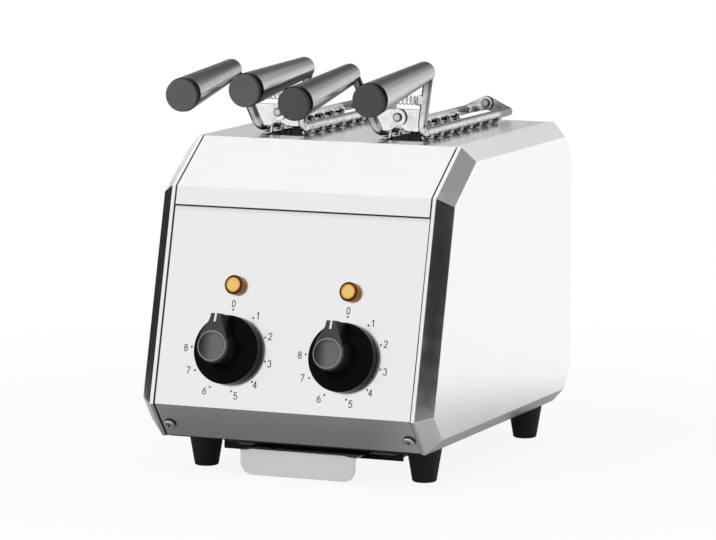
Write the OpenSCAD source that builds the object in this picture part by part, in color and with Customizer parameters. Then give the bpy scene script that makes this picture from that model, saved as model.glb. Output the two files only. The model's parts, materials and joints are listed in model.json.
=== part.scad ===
// Two-slot toaster with a folded stainless body, two lift-out tongs and a crumb tray.
// Millimetres. X runs to the right, Y to the rear and Z up. The feet stand on Z = 0.

/* [Body] */
// Width of the folded core between its two side frames
core_w = 189; // [184:1:220]
// Depth of the body from the low front edge to the rear
body_d = 279.2; // [270:0.1:320]
// Height of the body above its underside
body_h = 202.3; // [196:0.1:230]
// Thickness of the folded sheet
sheet = 1; // [0.6:0.1:1.5]
// Height of the low front edge above the underside
front_low = 25.3; // [18:0.1:30]
// How far the low front chamfer runs back
low_run = 20.5; // [16:0.1:28]
// Length of the leaning front, from its low edge to its high edge
front_len = 151.7; // [145:0.1:160]
// Lean of the front from upright, in degrees
front_lean = 14.7; // [10:0.1:18]
// How far the top front chamfer runs back
top_run = 44.4; // [36:0.1:48]
// How far the rear chamfers run, top and bottom
rear_run = 18.1; // [12:0.1:20]
// Height of the rear chamfers, top and bottom
rear_rise = 20.5; // [14:0.1:26]
// Overlap of the covers at the front and the rear
lip = 13; // [10:0.5:18]
// Length of the control panel's fold over the base
panel_fold = 16; // [10:0.5:24]

/* [Side pressings] */
// Thickness of the side frame plates
frame_t = 1; // [0.8:0.1:2]
// How far the side frames stay inside the outline
frame_inset = 1.5; // [1.2:0.1:3]
// Width of the flat rim of a side pressing
rim_w = 2.5; // [1.5:0.1:5]
// Depth of the slanted border across the toaster
bevel_w = 10.2; // [6:0.1:14]
// How far the slanted border draws in
bevel_inset = 10.05; // [6:0.05:13]
// Width of the pressing's return flange on the side frame
flange_w = 8; // [5:0.5:14]
// Width of the screw tabs on the side frames
tab_w = 11; // [11:0.5:22]
// Height of the screw tabs
tab_h = 11; // [8:0.5:12]
// Thickness of the screw tabs
tab_t = 2; // [1.5:0.1:4]

/* [Feet] */
// Height of the feet
foot_h = 25.2; // [22:0.1:40]
// Diameter of a foot at its top
foot_top_d = 25; // [18:0.5:26]
// Diameter of a foot where it stands
foot_low_d = 17; // [14:0.5:18]
// Distance of the feet from the middle, to either side
foot_x = 82; // [80:0.5:84]
// Distance of the front feet behind the low front edge
foot_front_in = 57.6; // [45:0.1:70]
// Distance of the rear feet in front of the rear
foot_rear_in = 32; // [30:0.1:45]

/* [Slots] */
// Distance between the middles of the two slots
slot_pitch = 90; // [86:0.5:94]
// Width of a slot
slot_w = 32; // [31.5:0.1:33.5]
// Length of a slot
slot_len = 145; // [135:0.5:150]
// Distance of the slots behind the top front edge
slot_back = 19.7; // [16:0.1:24]
// Distance of the bulkheads from the slot ends
bulkhead_gap = 8.5; // [6:0.1:9]

/* [Heaters] */
// Diameter of a quartz tube
tube_d = 10; // [8:0.1:11]
// Tubes in each bank
tube_count = 3; // [2:1:4]
// Distance of a bank from the middle of its slot
tube_off = 35; // [34:0.1:36]
// Height of the lowest tube above the underside
tube_low = 62; // [55:0.5:75]
// Height step between tubes
tube_step = 46; // [30:0.5:48]
// Diameter of the ceramic end caps
cap_d = 14; // [13:0.1:16]
// Length of the ceramic end caps
cap_len = 10; // [8:0.5:14]
// Depth of the tubes' seats in the end caps
cap_seat = 7; // [4:0.5:7.5]
// Gap between a bank and its side reflector
reflector_gap = 3; // [2:0.1:4]
// Height of the reflectors above the underside
reflector_low = 30; // [20:0.5:40]
// Gap between the reflectors and the top cover
reflector_top_gap = 8; // [5:0.5:20]

/* [Controls] */
// Distance of the dials and lamps from the middle, to either side
dial_x = 42.6; // [36:0.1:50]
// Height of the dials up the front
dial_up = 40.2; // [36:0.1:50]
// Height of the lamps up the front
lamp_up = 85; // [78:0.1:100]
// Diameter of a knob's skirt
skirt_d = 47.4; // [40:0.1:52]
// Height of a knob's skirt
skirt_h = 8; // [5:0.1:10]
// Diameter of a knob's hub at its end
hub_d = 22; // [18:0.1:26]
// Height of a knob off the panel
knob_h = 30; // [24:0.1:36]
// Width of a knob's pointer
pointer_w = 7.4; // [5:0.1:10]
// Length of a timer's shaft inside its knob
shaft_grip = 18; // [10:0.5:20]
// Gap between a knob and the panel
knob_gap = 0.8; // [0.4:0.1:2]
// Diameter of the timer shafts
shaft_d = 6; // [5:0.1:8]
// Side of the square timers
timer_side = 42; // [36:0.5:50]
// Diameter of the motors behind the timers
motor_d = 34; // [26:0.5:36]
// Depth of the timers
timer_depth = 28; // [20:0.5:36]
// Diameter of the lamp lenses
lens_d = 13.4; // [11:0.1:16]
// Height of the lamp lenses off the panel
lens_h = 5.6; // [4:0.1:8]
// Diameter of the lamps' stems in the panel
stem_d = 9; // [7:0.1:10]
// Length of the lamp bodies behind the panel
lamp_depth = 24; // [16:0.5:30]

/* [Tongs] */
// Diameter of the bent rods
rod_d = 6.5; // [5.6:0.1:7]
// Distance between the two rods of a tong
rod_spread = 32.4; // [32:0.1:36]
// Gap between the grids' loops and the top cover
seat_gap = 0.3; // [0.2:0.1:1]
// Radius of the bend between rod and arm
bend_r = 7; // [6:0.1:9]
// Distance of the arms in front of the slots' front end
arm_out = 1.3; // [0:0.1:3]
// Length of the rods beyond the slots' rear end
rod_over = 15.5; // [14:0.1:18]
// Outward lean of the left arm, in degrees
left_lean = 24.5; // [18:0.5:30]
// Outward lean of the right arm, in degrees
right_lean = 7.5; // [0:0.5:12]
// Rise of the left arm to its handle
left_rise = 38.8; // [38:0.1:46]
// Rise of the right arm to its handle
right_rise = 42.2; // [40:0.1:48]
// Height of the front rivet above the top
rivet_front = 16.6; // [14:0.1:18]
// Height of the rear rivet above the top
rivet_rear = 11.4; // [10:0.1:14]
// Diameter of the rivets
rivet_d = 4; // [3:0.1:5]
// Diameter of the rivets' heads
rivet_head_d = 6.4; // [5.6:0.1:7]
// Radial clearance of the rivets, shafts and tubes
running = 0.05; // [0.02:0.01:0.1]
// How far the front hinge plates reach below their rivet
plate_drop = 9.5; // [8.5:0.1:11]
// How far the hinge plates' middle lies in front of the arms' middle
plate_ahead = 2; // [1:0.1:2.4]
// Thickness of the hinge plates
plate_t = 1.5; // [1:0.1:2]
// Gap between neighbouring moving pieces
play = 0.3; // [0.2:0.05:0.5]
// Length of a handle
handle_len = 100.5; // [90:0.5:115]
// Diameter of a handle at its front
handle_front_d = 23.4; // [20:0.1:26]
// Diameter of a handle at its rear
handle_rear_d = 15; // [14.6:0.1:18]
// Wall of a handle
handle_wall = 1.2; // [0.8:0.1:2]
// Downward slope of the four handles towards the front, from left to right, in degrees
droop = [5.2, 4.3, 6.9, 6.3]; // [0:0.1:8]
// Turn of the four handles to the right towards the front, from left to right, in degrees
toe = [4.8, -0.3, 0.7, 0]; // [-2:0.1:5]
// Radius of a handle's rear edge
handle_round = 4.2; // [2:0.1:5]
// Distance of an arm from the rear end of its handle
grip_in = 4.6; // [4.6:0.1:9]
// Distance of the handles' middle to the left of their arms' ends
grip_shift = 3.5; // [0:0.1:4]
// How far the end caps stay inside the handles' outside
cap_step = 0.5; // [0.2:0.1:1]
// Visible thickness of the handles' end caps
end_cap_t = 4; // [2.5:0.1:6]
// Diameter of the grid wires
wire_d = 2.4; // [1.8:0.1:2.6]
// Distance between the two grids of a tong, wire middle to wire middle
grid_spread = 24.4; // [23:0.1:24.6]
// Depth of the grids below the top
grid_depth = 127; // [100:0.5:135]
// Height step between the long wires of a grid
grid_step = 34; // [24:0.5:38]
// Distance of a grid's hooks below the middle of their rod
hook_drop = 0.3; // [0:0.1:0.8]
// Distance of the grids behind the slots' front end
grid_front_in = 11; // [9:0.5:16]
// Distance of the grids in front of the slots' rear end
grid_rear_in = 8; // [5:0.5:16]
// Upright wires in a grid
grid_count = 8; // [5:1:11]
// Height of the spring above the rods
spring_up = 22.8; // [21:0.1:25]
// Outer diameter of the spring
spring_d = 7; // [6:0.1:8]
// Diameter of the spring wire
spring_wire = 0.9; // [0.7:0.05:1.1]
// Turns of the spring
spring_turns = 13; // [8:1:15]

/* [Crumb tray] */
// Width of the tray
tray_w = 132; // [110:0.5:132]
// Height of the tray's walls
tray_h = 6.9; // [5:0.1:8.4]
// Distance of the tray's front behind the low front edge
tray_front_in = 55; // [44:0.5:58]
// Length of the tray
tray_len = 204; // [190:0.5:210]
// Width of the tray's handle lip
pull_w = 86; // [70:0.5:100]
// How far the handle lip stands in front of the tray
pull_out = 26.4; // [8:0.1:30]
// Gap between the handle lip and the table
pull_clear = 1; // [1:0.1:6]
// Radius of the handle lip's low corners
pull_r = 9; // [4:0.1:12]
// Width of the rails' ledge under the tray
ledge_w = 6; // [4:0.1:9]

/* [Fasteners] */
// Diameter of the screw heads
head_d = 9; // [7:0.1:10]
// Height of the screw heads
head_h = 2.4; // [1.8:0.1:3]
// Diameter of the screws
screw_d = 4; // [3:0.1:5]
// Height of the front screws up the low chamfer
chamfer_screw_up = 12.6; // [12:0.1:18]
// Length of the screws under the head
screw_len = 9; // [7:0.5:14]
// Clearance of the screws in their holes
screw_gap = 0.1; // [0.05:0.05:0.3]

/* [Vents and openings] */
// Width of a rear vent
vent_w = 4; // [3:0.1:6]
// Height of a rear vent
vent_h = 26; // [18:0.5:30]
// Distance between neighbouring vents
vent_pitch = 10; // [8:0.1:12]
// Height step between the two rows of vents
vent_row = 36; // [32:0.5:42]
// Distance of the crumb openings from the middle
opening_in = 8; // [5:0.5:14]
// Distance of the crumb openings from the tray's sides
opening_side = 4; // [3:0.5:10]
// Distance of the crumb openings from the bulkheads
opening_end = 6; // [4:0.5:12]

/* [Cord entry] */
// Width of the terminal block
block_w = 44; // [30:0.5:48]
// Depth of the terminal block
block_d = 14; // [10:0.5:20]
// Height of the terminal block
block_h = 16; // [12:0.5:24]
// Distance of the cord gland from the middle
gland_x = 62; // [40:0.5:66]
// Height of the cord gland above the underside
gland_up = 46; // [42:0.5:70]
// Diameter of the gland's collar
gland_d = 18; // [15:0.5:22]
// Length of the gland's collar outside the rear
gland_out = 6; // [5:0.5:12]
// Diameter of the gland's bore
cord_d = 8; // [6:0.1:10]

/* [Hidden] */
$fn = 48;
ANY = 0.01;

left = -1;
right = 1;
top_z = foot_h + body_h;
front_y = -body_d / 2;
rear_y = body_d / 2;
lean_sin = sin(front_lean);
lean_cos = cos(front_lean);

// Corners of the side outline in Y and Z, clockwise from the low front edge
low_edge = [front_y, foot_h + front_low];
high_edge = low_edge + front_len * [lean_sin, lean_cos];
top_front = [high_edge[0] + top_run, top_z];
top_rear = [rear_y - rear_run, top_z];
rear_high = [rear_y, top_z - rear_rise];
rear_low = [rear_y, foot_h + rear_rise];
base_rear = [rear_y - rear_run, foot_h];
base_front = [front_y + low_run, foot_h];
OUTLINE = [low_edge, high_edge, top_front, top_rear, rear_high, rear_low, base_rear, base_front];

core_x = core_w / 2;
frame_x = core_x + frame_t;
bevel_x = frame_x + rim_w;
side_x = bevel_x + bevel_w;

slot_x = slot_pitch / 2;
slot_front = top_front[0] + slot_back;
slot_rear = slot_front + slot_len;
bulk_front = slot_front - bulkhead_gap;
bulk_rear = slot_rear + bulkhead_gap;
reflector_x = slot_x + tube_off + tube_d / 2 + reflector_gap;
base_top = foot_h + sheet;
cover_low = top_z - sheet;

chamfer_len = norm([low_run, front_low]);
chamfer_turn = atan2(front_low, -low_run);
chamfer_up = [-low_run, front_low] / chamfer_len;
screw_x = core_x - tab_w / 2;
rear_screws = [rear_high[1] - lip / 2, rear_low[1] + lip / 2];
panel_short = 3;
base_short = 2;
shaft_hole_d = shaft_d + 2;
shank_hole_d = screw_d + 2 * screw_gap;

rod_r = rod_d / 2;
rod_x = rod_spread / 2;
loop_sink = 0.2;
rod_z = top_z + seat_gap + wire_d - loop_sink + rod_r;
arm_y = slot_front - arm_out;
rod_end = slot_rear + rod_over;
plate_front = arm_y - plate_ahead - plate_t - play / 2;
rivet_a = [0, arm_y - plate_ahead, top_z + rivet_front];
rivet_b = [0, rod_end + play / 2, top_z + rivet_rear];
hinge_tilt = atan2(rivet_a[2] - rivet_b[2], rivet_b[1] - rivet_a[1]);
rivet_r = rivet_d / 2;
rivet_head_t = 1.4;
front_eye_r = rivet_r + 4;
rear_eye_r = rivet_r + 3;
plate_low = rivet_a[2] - plate_drop;
plate_high = rivet_a[2] + front_eye_r - 0.3;
plate_end = rod_r / 2;
grid_x = grid_spread / 2;
grid_low = top_z - grid_depth;
grid_front = slot_front + grid_front_in;
grid_rear = slot_rear - grid_rear_in;
wire_step = (grid_rear - grid_front) / (grid_count - 1);
spring_z = rod_z + spring_up;
seat_r = spring_d / 2 + 0.3;
seat_face = 0.3;
peg_r = spring_d / 2 - spring_wire - 0.4;
peg_len = 5;

ledge_t = 1.2;
ledge_gap = 0.3;
tray_z = foot_h - play - sheet - tray_h;
rail_x = tray_w / 2 + play;
tray_front = front_y + tray_front_in;
pull_y = tray_front - pull_out;

knob_front = front_y + dial_up * lean_sin + (sheet - knob_h) * lean_cos - hub_d / 2 * lean_sin;
middle_y = (knob_front + rear_y + gland_out) / 2;
gland_step = 2;

// Outlines and their insets

function inner_side(a, b) = [b[1] - a[1], a[0] - b[0]] / norm(b - a);

// A point moved inwards by d from two edges that meet there, whose inner sides are p and q
function mitre(point, p, q, d) = point + d * (p + q) / (1 + p * q);

// A closed outline drawn in by d all round
function ring_inset(ring, d) = [
    for (i = [0 : len(ring) - 1])
        let (before = ring[(i + len(ring) - 1) % len(ring)], after = ring[(i + 1) % len(ring)])
            mitre(ring[i], inner_side(before, ring[i]), inner_side(ring[i], after), d)
];

// An open path moved inwards by d, with its ends square
function path_inset(path, d) = [
    for (i = [0 : len(path) - 1])
        let (
            before = i == 0 ? inner_side(path[0], path[1]) : inner_side(path[i - 1], path[i]),
            after = i == len(path) - 1 ? before : inner_side(path[i], path[i + 1])
        )
            mitre(path[i], before, after, d)
];

function reversed(list) = [for (i = [len(list) - 1 : -1 : 0]) list[i]];

// Points of a round stretch about a centre, from one angle to another
function arc(centre, r, from, to, steps = 6) = [
    for (i = [0 : steps]) let (a = from + (to - from) * i / steps) centre + r * [cos(a), sin(a)]
];

// Arm middle of one half of a tong at a height, measured from the middle of the slot
function lean_of(side) = side == left ? left_lean : right_lean;
function rise_of(side) = side == left ? left_rise : right_rise;
function handle_number(tong, side) = (tong == left ? 0 : 2) + (side == left ? 0 : 1);
function arm_x(side, z) = side * (rod_x + tan(lean_of(side)) * (z - rod_z));
function seat_off(side) = rod_r / cos(lean_of(side)) + seat_r * tan(lean_of(side)) + seat_face;

// Placing

// Moves the model so that its box is centred on the origin
module in_frame() {
    translate([0, -middle_y, 0]) children();
}

// Pushes a flat outline in Y and Z out across the toaster
module across(from, to) {
    translate([from, 0, 0]) rotate([90, 0, 90]) linear_extrude(to - from) children();
}

// On the control panel's face, with Y up the front and Z out of it
module on_front(x, up) {
    at = low_edge + up * [lean_sin, lean_cos] + sheet * [lean_cos, -lean_sin];
    translate([x, at[0], at[1]]) rotate([90 - front_lean, 0, 0]) children();
}

// At the screws' height on the low front chamfer, with Z out of it
module on_chamfer(x) {
    at = base_front + chamfer_screw_up * chamfer_up + sheet * [front_low, low_run] / chamfer_len;
    translate([x, at[0], at[1]]) rotate([chamfer_turn, 0, 0]) children();
}

// On the rear, with Z out of it
module on_rear(x, z) {
    translate([x, rear_y, z]) rotate([-90, 0, 0]) children();
}

module at_slot(side) {
    translate([side * slot_x, 0, 0]) children();
}

// A bent sheet whose outside follows a path across the core
module folded(path) {
    across(-core_x, core_x) polygon(concat(path, reversed(path_inset(path, sheet))));
}

// A closed skin through outlines set across the toaster, each given as its place and its points,
// with the first and the last filled in
module skin(stations, side) {
    n = len(stations[0][1]);
    last = len(stations) - 1;
    points = [for (s = stations) each [for (p = s[1]) [side * s[0], p[0], p[1]]]];
    caps = [
        for (i = [1 : n - 2]) each [[0, i, i + 1], [0, i + 1, i] + last * n * [1, 1, 1]]
    ];
    bands = [
        for (k = [0 : last - 1], i = [0 : n - 1])
            let (a = k * n + i, b = k * n + (i + 1) % n)
                each [[a, a + n, b], [b, a + n, b + n]]
    ];
    faces = concat(caps, bands);
    polyhedron(points, side == left ? [for (f = faces) reversed(f)] : faces);
}

module pan_screw(length) {
    crown = head_h * 0.6;
    rotate_extrude() polygon(concat(
        [[0, -length], [screw_d / 2, -length], [screw_d / 2, 0], [head_d / 2, 0]],
        arc([head_d / 2 - crown, head_h - crown], crown, 0, 90),
        [[0, head_h]]
    ));
}

module screw_hole(length) {
    translate([0, 0, -length]) cylinder(h = length + head_h, d = shank_hole_d);
}

// Body

module screw_tab() {
    translate([-tab_w / 2, -tab_h / 2, -2 * sheet - tab_t]) cube([tab_w, tab_h, tab_t]);
}

module side_frame(side) {
    color("silver") {
        difference() {
            union() {
                across(side == left ? -frame_x : core_x, side == left ? -core_x : frame_x)
                    polygon(ring_inset(OUTLINE, frame_inset));
                on_chamfer(side * screw_x) translate([0, 0, sheet]) screw_tab();
                for (z = rear_screws) on_rear(side * screw_x, z) screw_tab();
            }
            on_chamfer(side * screw_x) screw_hole(screw_len);
            for (z = rear_screws) on_rear(side * screw_x, z) screw_hole(screw_len);
        }
    }
}

module side_panel(side) {
    inner = ring_inset(OUTLINE, sheet);
    flange = ring_inset(OUTLINE, flange_w);
    flat_in = bevel_inset + sheet * tan(atan2(bevel_w, bevel_inset) / 2);
    color("whitesmoke") skin([
        [side_x, ring_inset(OUTLINE, bevel_inset)],
        [bevel_x, OUTLINE],
        [frame_x, OUTLINE],
        [frame_x, flange],
        [frame_x + sheet, flange],
        [frame_x + sheet, inner],
        [bevel_x, inner],
        [side_x - sheet, ring_inset(OUTLINE, flat_in)]
    ], side);
}

module top_cover() {
    front_lip = high_edge - lip * [lean_sin, lean_cos];
    color("whitesmoke") difference() {
        folded([front_lip, high_edge, top_front, top_rear, rear_high, rear_high - [0, lip]]);
        for (side = [left, right]) {
            at_slot(side) translate([-slot_w / 2, slot_front, cover_low - sheet])
                cube([slot_w, slot_len, 3 * sheet]);
            on_rear(side * screw_x, rear_screws[0]) screw_hole(screw_len);
        }
    }
}

module control_panel() {
    up = (front_len - panel_short) * [lean_sin, lean_cos];
    path = [base_front + [panel_fold, 0], base_front, low_edge, low_edge + up];
    lamp_hole_d = stem_d + 2 * screw_gap;
    color("whitesmoke") difference() {
        folded(path_inset(path, sheet));
        for (side = [left, right]) {
            on_front(side * dial_x, dial_up) cylinder(h = 6 * sheet, d = shaft_hole_d, center = true);
            on_front(side * dial_x, lamp_up) cylinder(h = 6 * sheet, d = lamp_hole_d, center = true);
            on_chamfer(side * screw_x) screw_hole(screw_len);
        }
    }
}

module rear_panel() {
    vents = 5;
    vent_top = rear_high[1] - 2 * lip;
    gland_hole_d = gland_d - 2 * gland_step + 2 * screw_gap;
    color("whitesmoke") difference() {
        folded(path_inset([rear_high - [0, sheet], rear_low + [0, sheet]], sheet));
        for (side = [left, right], z = rear_screws) on_rear(side * screw_x, z) screw_hole(screw_len);
        for (i = [-vents : vents], row = [0, 1])
            translate([i * vent_pitch - vent_w / 2, rear_y - 4 * sheet, vent_top - vent_h - row * vent_row])
                cube([vent_w, 6 * sheet, vent_h]);
        on_rear(gland_x, foot_h + gland_up) cylinder(h = 8 * sheet, d = gland_hole_d, center = true);
    }
}

module base_plate() {
    opening_w = tray_w / 2 - opening_side - opening_in;
    opening_len = bulk_rear - bulk_front - 2 * opening_end;
    color("gainsboro") difference() {
        folded([rear_low + [0, lip], rear_low, base_rear, base_front + [base_short, 0]]);
        for (side = [left, right]) {
            translate([side * (opening_in + opening_w / 2), bulk_front + opening_end, foot_h - sheet])
                translate([-opening_w / 2, 0, 0]) cube([opening_w, opening_len, 3 * sheet]);
            on_rear(side * screw_x, rear_screws[1]) screw_hole(screw_len);
        }
        at_feet() cylinder(h = 2 * foot_h, d = shank_hole_d);
    }
}

module control_panel_screws() {
    color("silver") for (side = [left, right]) on_chamfer(side * screw_x) pan_screw(screw_len);
}

module rear_panel_screws() {
    color("silver") for (side = [left, right], z = rear_screws)
        on_rear(side * screw_x, z) pan_screw(screw_len);
}

// Feet

module at_feet() {
    for (side = [left, right], y = [front_y + foot_front_in, rear_y - foot_rear_in])
        translate([side * foot_x, y, 0]) children();
}

module foot(side, y) {
    corner = 1.5;
    well_d = head_d + 1;
    color("black") translate([side * foot_x, y, 0]) difference() {
        rotate_extrude() polygon(concat(
            [[0, 0]],
            arc([foot_low_d / 2 - corner, corner], corner, -90, 0),
            [[foot_top_d / 2, foot_h], [0, foot_h]]
        ));
        translate([0, 0, -ANY]) cylinder(h = foot_h / 2, d = well_d);
        cylinder(h = 2 * foot_h, d = shank_hole_d);
    }
}

module foot_screws() {
    above = 4;
    color("silver") at_feet() translate([0, 0, foot_h / 2 - ANY]) mirror([0, 0, 1])
        pan_screw(foot_h / 2 + above);
}

// Heating

module tube_row() {
    for (i = [0 : tube_count - 1]) translate([0, 0, foot_h + tube_low + i * tube_step]) children();
}

module at_banks() {
    for (side = [left, right], bank = [left, right])
        at_slot(side) translate([bank * tube_off, 0, 0]) tube_row() children();
}

module bulkhead(y) {
    color("gainsboro") difference() {
        translate([-core_x, y, base_top]) cube([core_w, sheet, cover_low - base_top]);
        at_banks() translate([0, y, 0]) rotate([90, 0, 0])
            cylinder(h = 6 * sheet, d = tube_d + 2 * running, center = true);
    }
}

module reflector(x) {
    low = foot_h + reflector_low;
    color("lightgray") translate([x - sheet / 2, bulk_front, low])
        cube([sheet, bulk_rear - bulk_front, cover_low - reflector_top_gap - low]);
}

module heater_tubes(side, bank) {
    reach = sheet + cap_seat;
    color("mistyrose") at_slot(side) translate([bank * tube_off, bulk_front - reach, 0]) tube_row()
        rotate([-90, 0, 0]) cylinder(h = bulk_rear - bulk_front + 2 * reach, d = tube_d);
}

// An end cap whose seat opens at Z = 0
module end_cap() {
    difference() {
        cylinder(h = cap_len, d = cap_d);
        translate([0, 0, -ANY]) cylinder(h = cap_seat + ANY, d = tube_d + 2 * running);
    }
}

module heater_end_caps() {
    color("ivory") at_banks() {
        translate([0, bulk_front - sheet, 0]) rotate([90, 0, 0]) end_cap();
        translate([0, bulk_rear + sheet, 0]) rotate([-90, 0, 0]) end_cap();
    }
}

// Controls

module timer(side) {
    motor_h = 10;
    color("dimgray") on_front(side * dial_x, dial_up) translate([0, 0, -sheet - timer_depth]) difference() {
        union() {
            translate([-timer_side / 2, -timer_side / 2, 0]) cube([timer_side, timer_side, timer_depth]);
            translate([0, 0, -motor_h]) cylinder(h = motor_h + ANY, d = motor_d);
        }
        cylinder(h = timer_depth + sheet, d = shaft_d + 2 * running);
    }
}

module timer_shaft(side) {
    color("silver") on_front(side * dial_x, dial_up) translate([0, 0, -sheet - timer_depth + play])
        cylinder(h = timer_depth + sheet - play + shaft_grip, d = shaft_d);
}

module knob(side) {
    skirt_r = skirt_d / 2;
    hub_r = hub_d / 2;
    root_r = hub_r + 2;
    fillet_r = 5;
    dish = 1.2;
    edge = 0.8;
    shoulder = 1.6;
    dish_r = hub_r - 3 * edge;
    pointer_r = skirt_r - 1.3;
    pointer_dip = 2;
    color("black") on_front(side * dial_x, dial_up) difference() {
        union() {
            rotate_extrude() polygon(concat(
                [[0, knob_gap], [skirt_r, knob_gap]],
                arc([skirt_r - shoulder, skirt_h - shoulder], shoulder, 0, 90),
                arc([root_r + fillet_r, skirt_h + edge + fillet_r], fillet_r, 270, 180),
                [[hub_r, knob_h - edge], [hub_r - edge, knob_h], [hub_r - 2 * edge, knob_h]],
                [[dish_r, knob_h - edge], [0, knob_h - dish]]
            ));
            rotate([90, 0, 90]) translate([0, 0, -pointer_w / 2]) linear_extrude(pointer_w) polygon([
                [dish_r, knob_gap], [pointer_r, knob_gap],
                [pointer_r, knob_h - pointer_dip], [dish_r, knob_h]
            ]);
        }
        cylinder(h = shaft_grip + play, d = shaft_d + 2 * running);
    }
}

module lamp_holder(side) {
    nut_d = lens_d + 2;
    nut_h = 5;
    body_r = stem_d / 2 + 1;
    color("dimgray") on_front(side * dial_x, lamp_up) translate([0, 0, -sheet]) rotate([180, 0, 0])
    difference() {
        union() {
            cylinder(h = nut_h, d = nut_d, $fn = 6);
            cylinder(h = lamp_depth, r = body_r);
        }
        translate([0, 0, -ANY]) cylinder(h = nut_h + ANY, d = stem_d + 2 * screw_gap);
    }
}

module lamp_lens(side) {
    stem_h = 4;
    r = lens_d / 2;
    dome = 1.2;
    color("orange") on_front(side * dial_x, lamp_up) rotate_extrude() polygon(concat(
        [[0, -sheet - stem_h], [stem_d / 2, -sheet - stem_h], [stem_d / 2, 0], [r, 0]],
        arc([r - dome, lens_h - dome], dome, 0, 90),
        [[0, lens_h]]
    ));
}

module terminal_block() {
    block = [block_w, block_d, block_h];
    ways = 3;
    well_d = 6;
    floor_t = 5;
    at = [gland_x - block[0] - gland_d, bulk_rear + sheet, foot_h + gland_up - block[2] / 2];
    color("ivory") translate(at) difference() {
        cube(block);
        for (i = [0 : ways - 1])
            translate([block[0] * (i + 0.5) / ways, block[1] / 2, floor_t])
                cylinder(h = block[2], d = well_d);
    }
}

module cord_gland() {
    collar_r = gland_d / 2;
    neck_r = collar_r - gland_step;
    nut_t = 6;
    inside = 2 * sheet + nut_t;
    color("black") on_rear(gland_x, foot_h + gland_up) difference() {
        rotate_extrude() polygon([
            [0, -inside], [collar_r, -inside], [collar_r, -2 * sheet], [neck_r, -2 * sheet], [neck_r, -sheet],
            [collar_r, -sheet], [collar_r, gland_out - gland_step], [neck_r, gland_out], [0, gland_out]
        ]);
        translate([0, 0, -2 * inside]) cylinder(h = 4 * inside, d = cord_d);
    }
}

// Crumb tray

module tray_rail(side) {
    rail_t = sheet;
    low = tray_z - ledge_gap - ledge_t;
    color("silver") mirror([side == left ? 1 : 0, 0, 0]) translate([0, tray_front, 0]) {
        translate([rail_x, 0, low]) cube([rail_t, tray_len, foot_h - low]);
        translate([rail_x - ledge_w, 0, low]) cube([ledge_w, tray_len, ledge_t]);
    }
}

module crumb_tray() {
    corner_x = pull_w / 2 - pull_r;
    corner_z = pull_clear + pull_r;
    color("gainsboro") {
        difference() {
            translate([-tray_w / 2, tray_front, tray_z]) cube([tray_w, tray_len, tray_h + sheet]);
            translate([-tray_w / 2 + sheet, tray_front + sheet, tray_z + sheet])
                cube([tray_w - 2 * sheet, tray_len - 2 * sheet, 2 * tray_h]);
        }
        translate([-pull_w / 2, pull_y, tray_z]) cube([pull_w, pull_out, sheet]);
        translate([0, pull_y + sheet, 0]) rotate([90, 0, 0]) linear_extrude(sheet) union() {
            translate([-pull_w / 2, corner_z]) square([pull_w, tray_z - corner_z + ANY]);
            translate([-corner_x, pull_clear]) square([2 * corner_x, 2 * pull_r]);
            for (side = [left, right]) translate([side * corner_x, corner_z]) circle(r = pull_r);
        }
    }
}

// Tongs, each drawn about the middle of its slot

// Along the hinge line at a rivet, with Z to the rear
module at_rivet(place) {
    translate(place) rotate([-90 - hinge_tilt, 0, 0]) children();
}

module hinge_bore(place) {
    reach = 20;
    at_rivet(place) cylinder(h = reach, r = rivet_r + running, center = true);
}

// A rod along the slot that bends up into an arm
module bent_rod(side) {
    arm_len = rise_of(side) / cos(lean_of(side));
    rear = rod_end + play + plate_t;
    translate([side * rod_x, arm_y, rod_z]) rotate([0, side * lean_of(side), 0]) {
        translate([0, bend_r, 0]) rotate([-90, 0, 0]) cylinder(h = rear - arm_y - bend_r, r = rod_r);
        translate([0, bend_r, bend_r]) rotate([90, 0, 90]) rotate([0, 0, 180])
            rotate_extrude(angle = 90) translate([bend_r, 0]) circle(r = rod_r);
        translate([0, 0, bend_r]) cylinder(h = arm_len - bend_r, r = rod_r);
    }
}

// A flat plate in X and Z, from one place in Y to another
module plate(from, to) {
    translate([0, to, 0]) rotate([90, 0, 0]) linear_extrude(to - from) children();
}

module front_plate(side) {
    front = side == left ? plate_front : plate_front + plate_t + play;
    low_x = arm_x(side, plate_low) - side * plate_end;
    high_x = arm_x(side, plate_high) - side * plate_end;
    plate(front, front + plate_t) {
        translate([0, rivet_a[2]]) circle(r = front_eye_r);
        polygon([
            [0, rivet_a[2] - front_eye_r], [0, plate_high], [high_x, plate_high],
            [low_x, plate_low], [side * front_eye_r, plate_low]
        ]);
    }
}

module rear_plate(side) {
    front = side == left ? rod_end - plate_t : rod_end + play;
    z = rivet_b[2];
    eye = rear_eye_r;
    plate(front, front + plate_t) {
        translate([0, z]) circle(r = eye);
        polygon([
            [0, z - eye], [0, z + eye], [side * eye * cos(60), z + eye * sin(60)],
            [side * (rod_x + rod_r * cos(45)), rod_z + rod_r * sin(45)],
            [side * rod_x, rod_z - rod_r * sin(60)]
        ]);
    }
}

// The cup and peg on an arm that hold one end of the spring
module spring_seat(side) {
    translate([arm_x(side, spring_z), arm_y, spring_z]) rotate([0, -side * 90, 0]) {
        cylinder(h = seat_off(side), r = seat_r);
        cylinder(h = seat_off(side) + peg_len, r = peg_r);
    }
}

// Turns of grid wire under a rod, on which the tong stands
module rod_loops(side) {
    loop_r = rod_r + wire_d / 2 - loop_sink;
    from = side == left ? 120 : -100;
    for (i = [0 : grid_count - 1]) translate([side * rod_x, grid_front + i * wire_step, rod_z])
        rotate([90, 0, 0]) rotate([0, 0, from])
            rotate_extrude(angle = 160) translate([loop_r, 0]) circle(d = wire_d);
}

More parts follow.
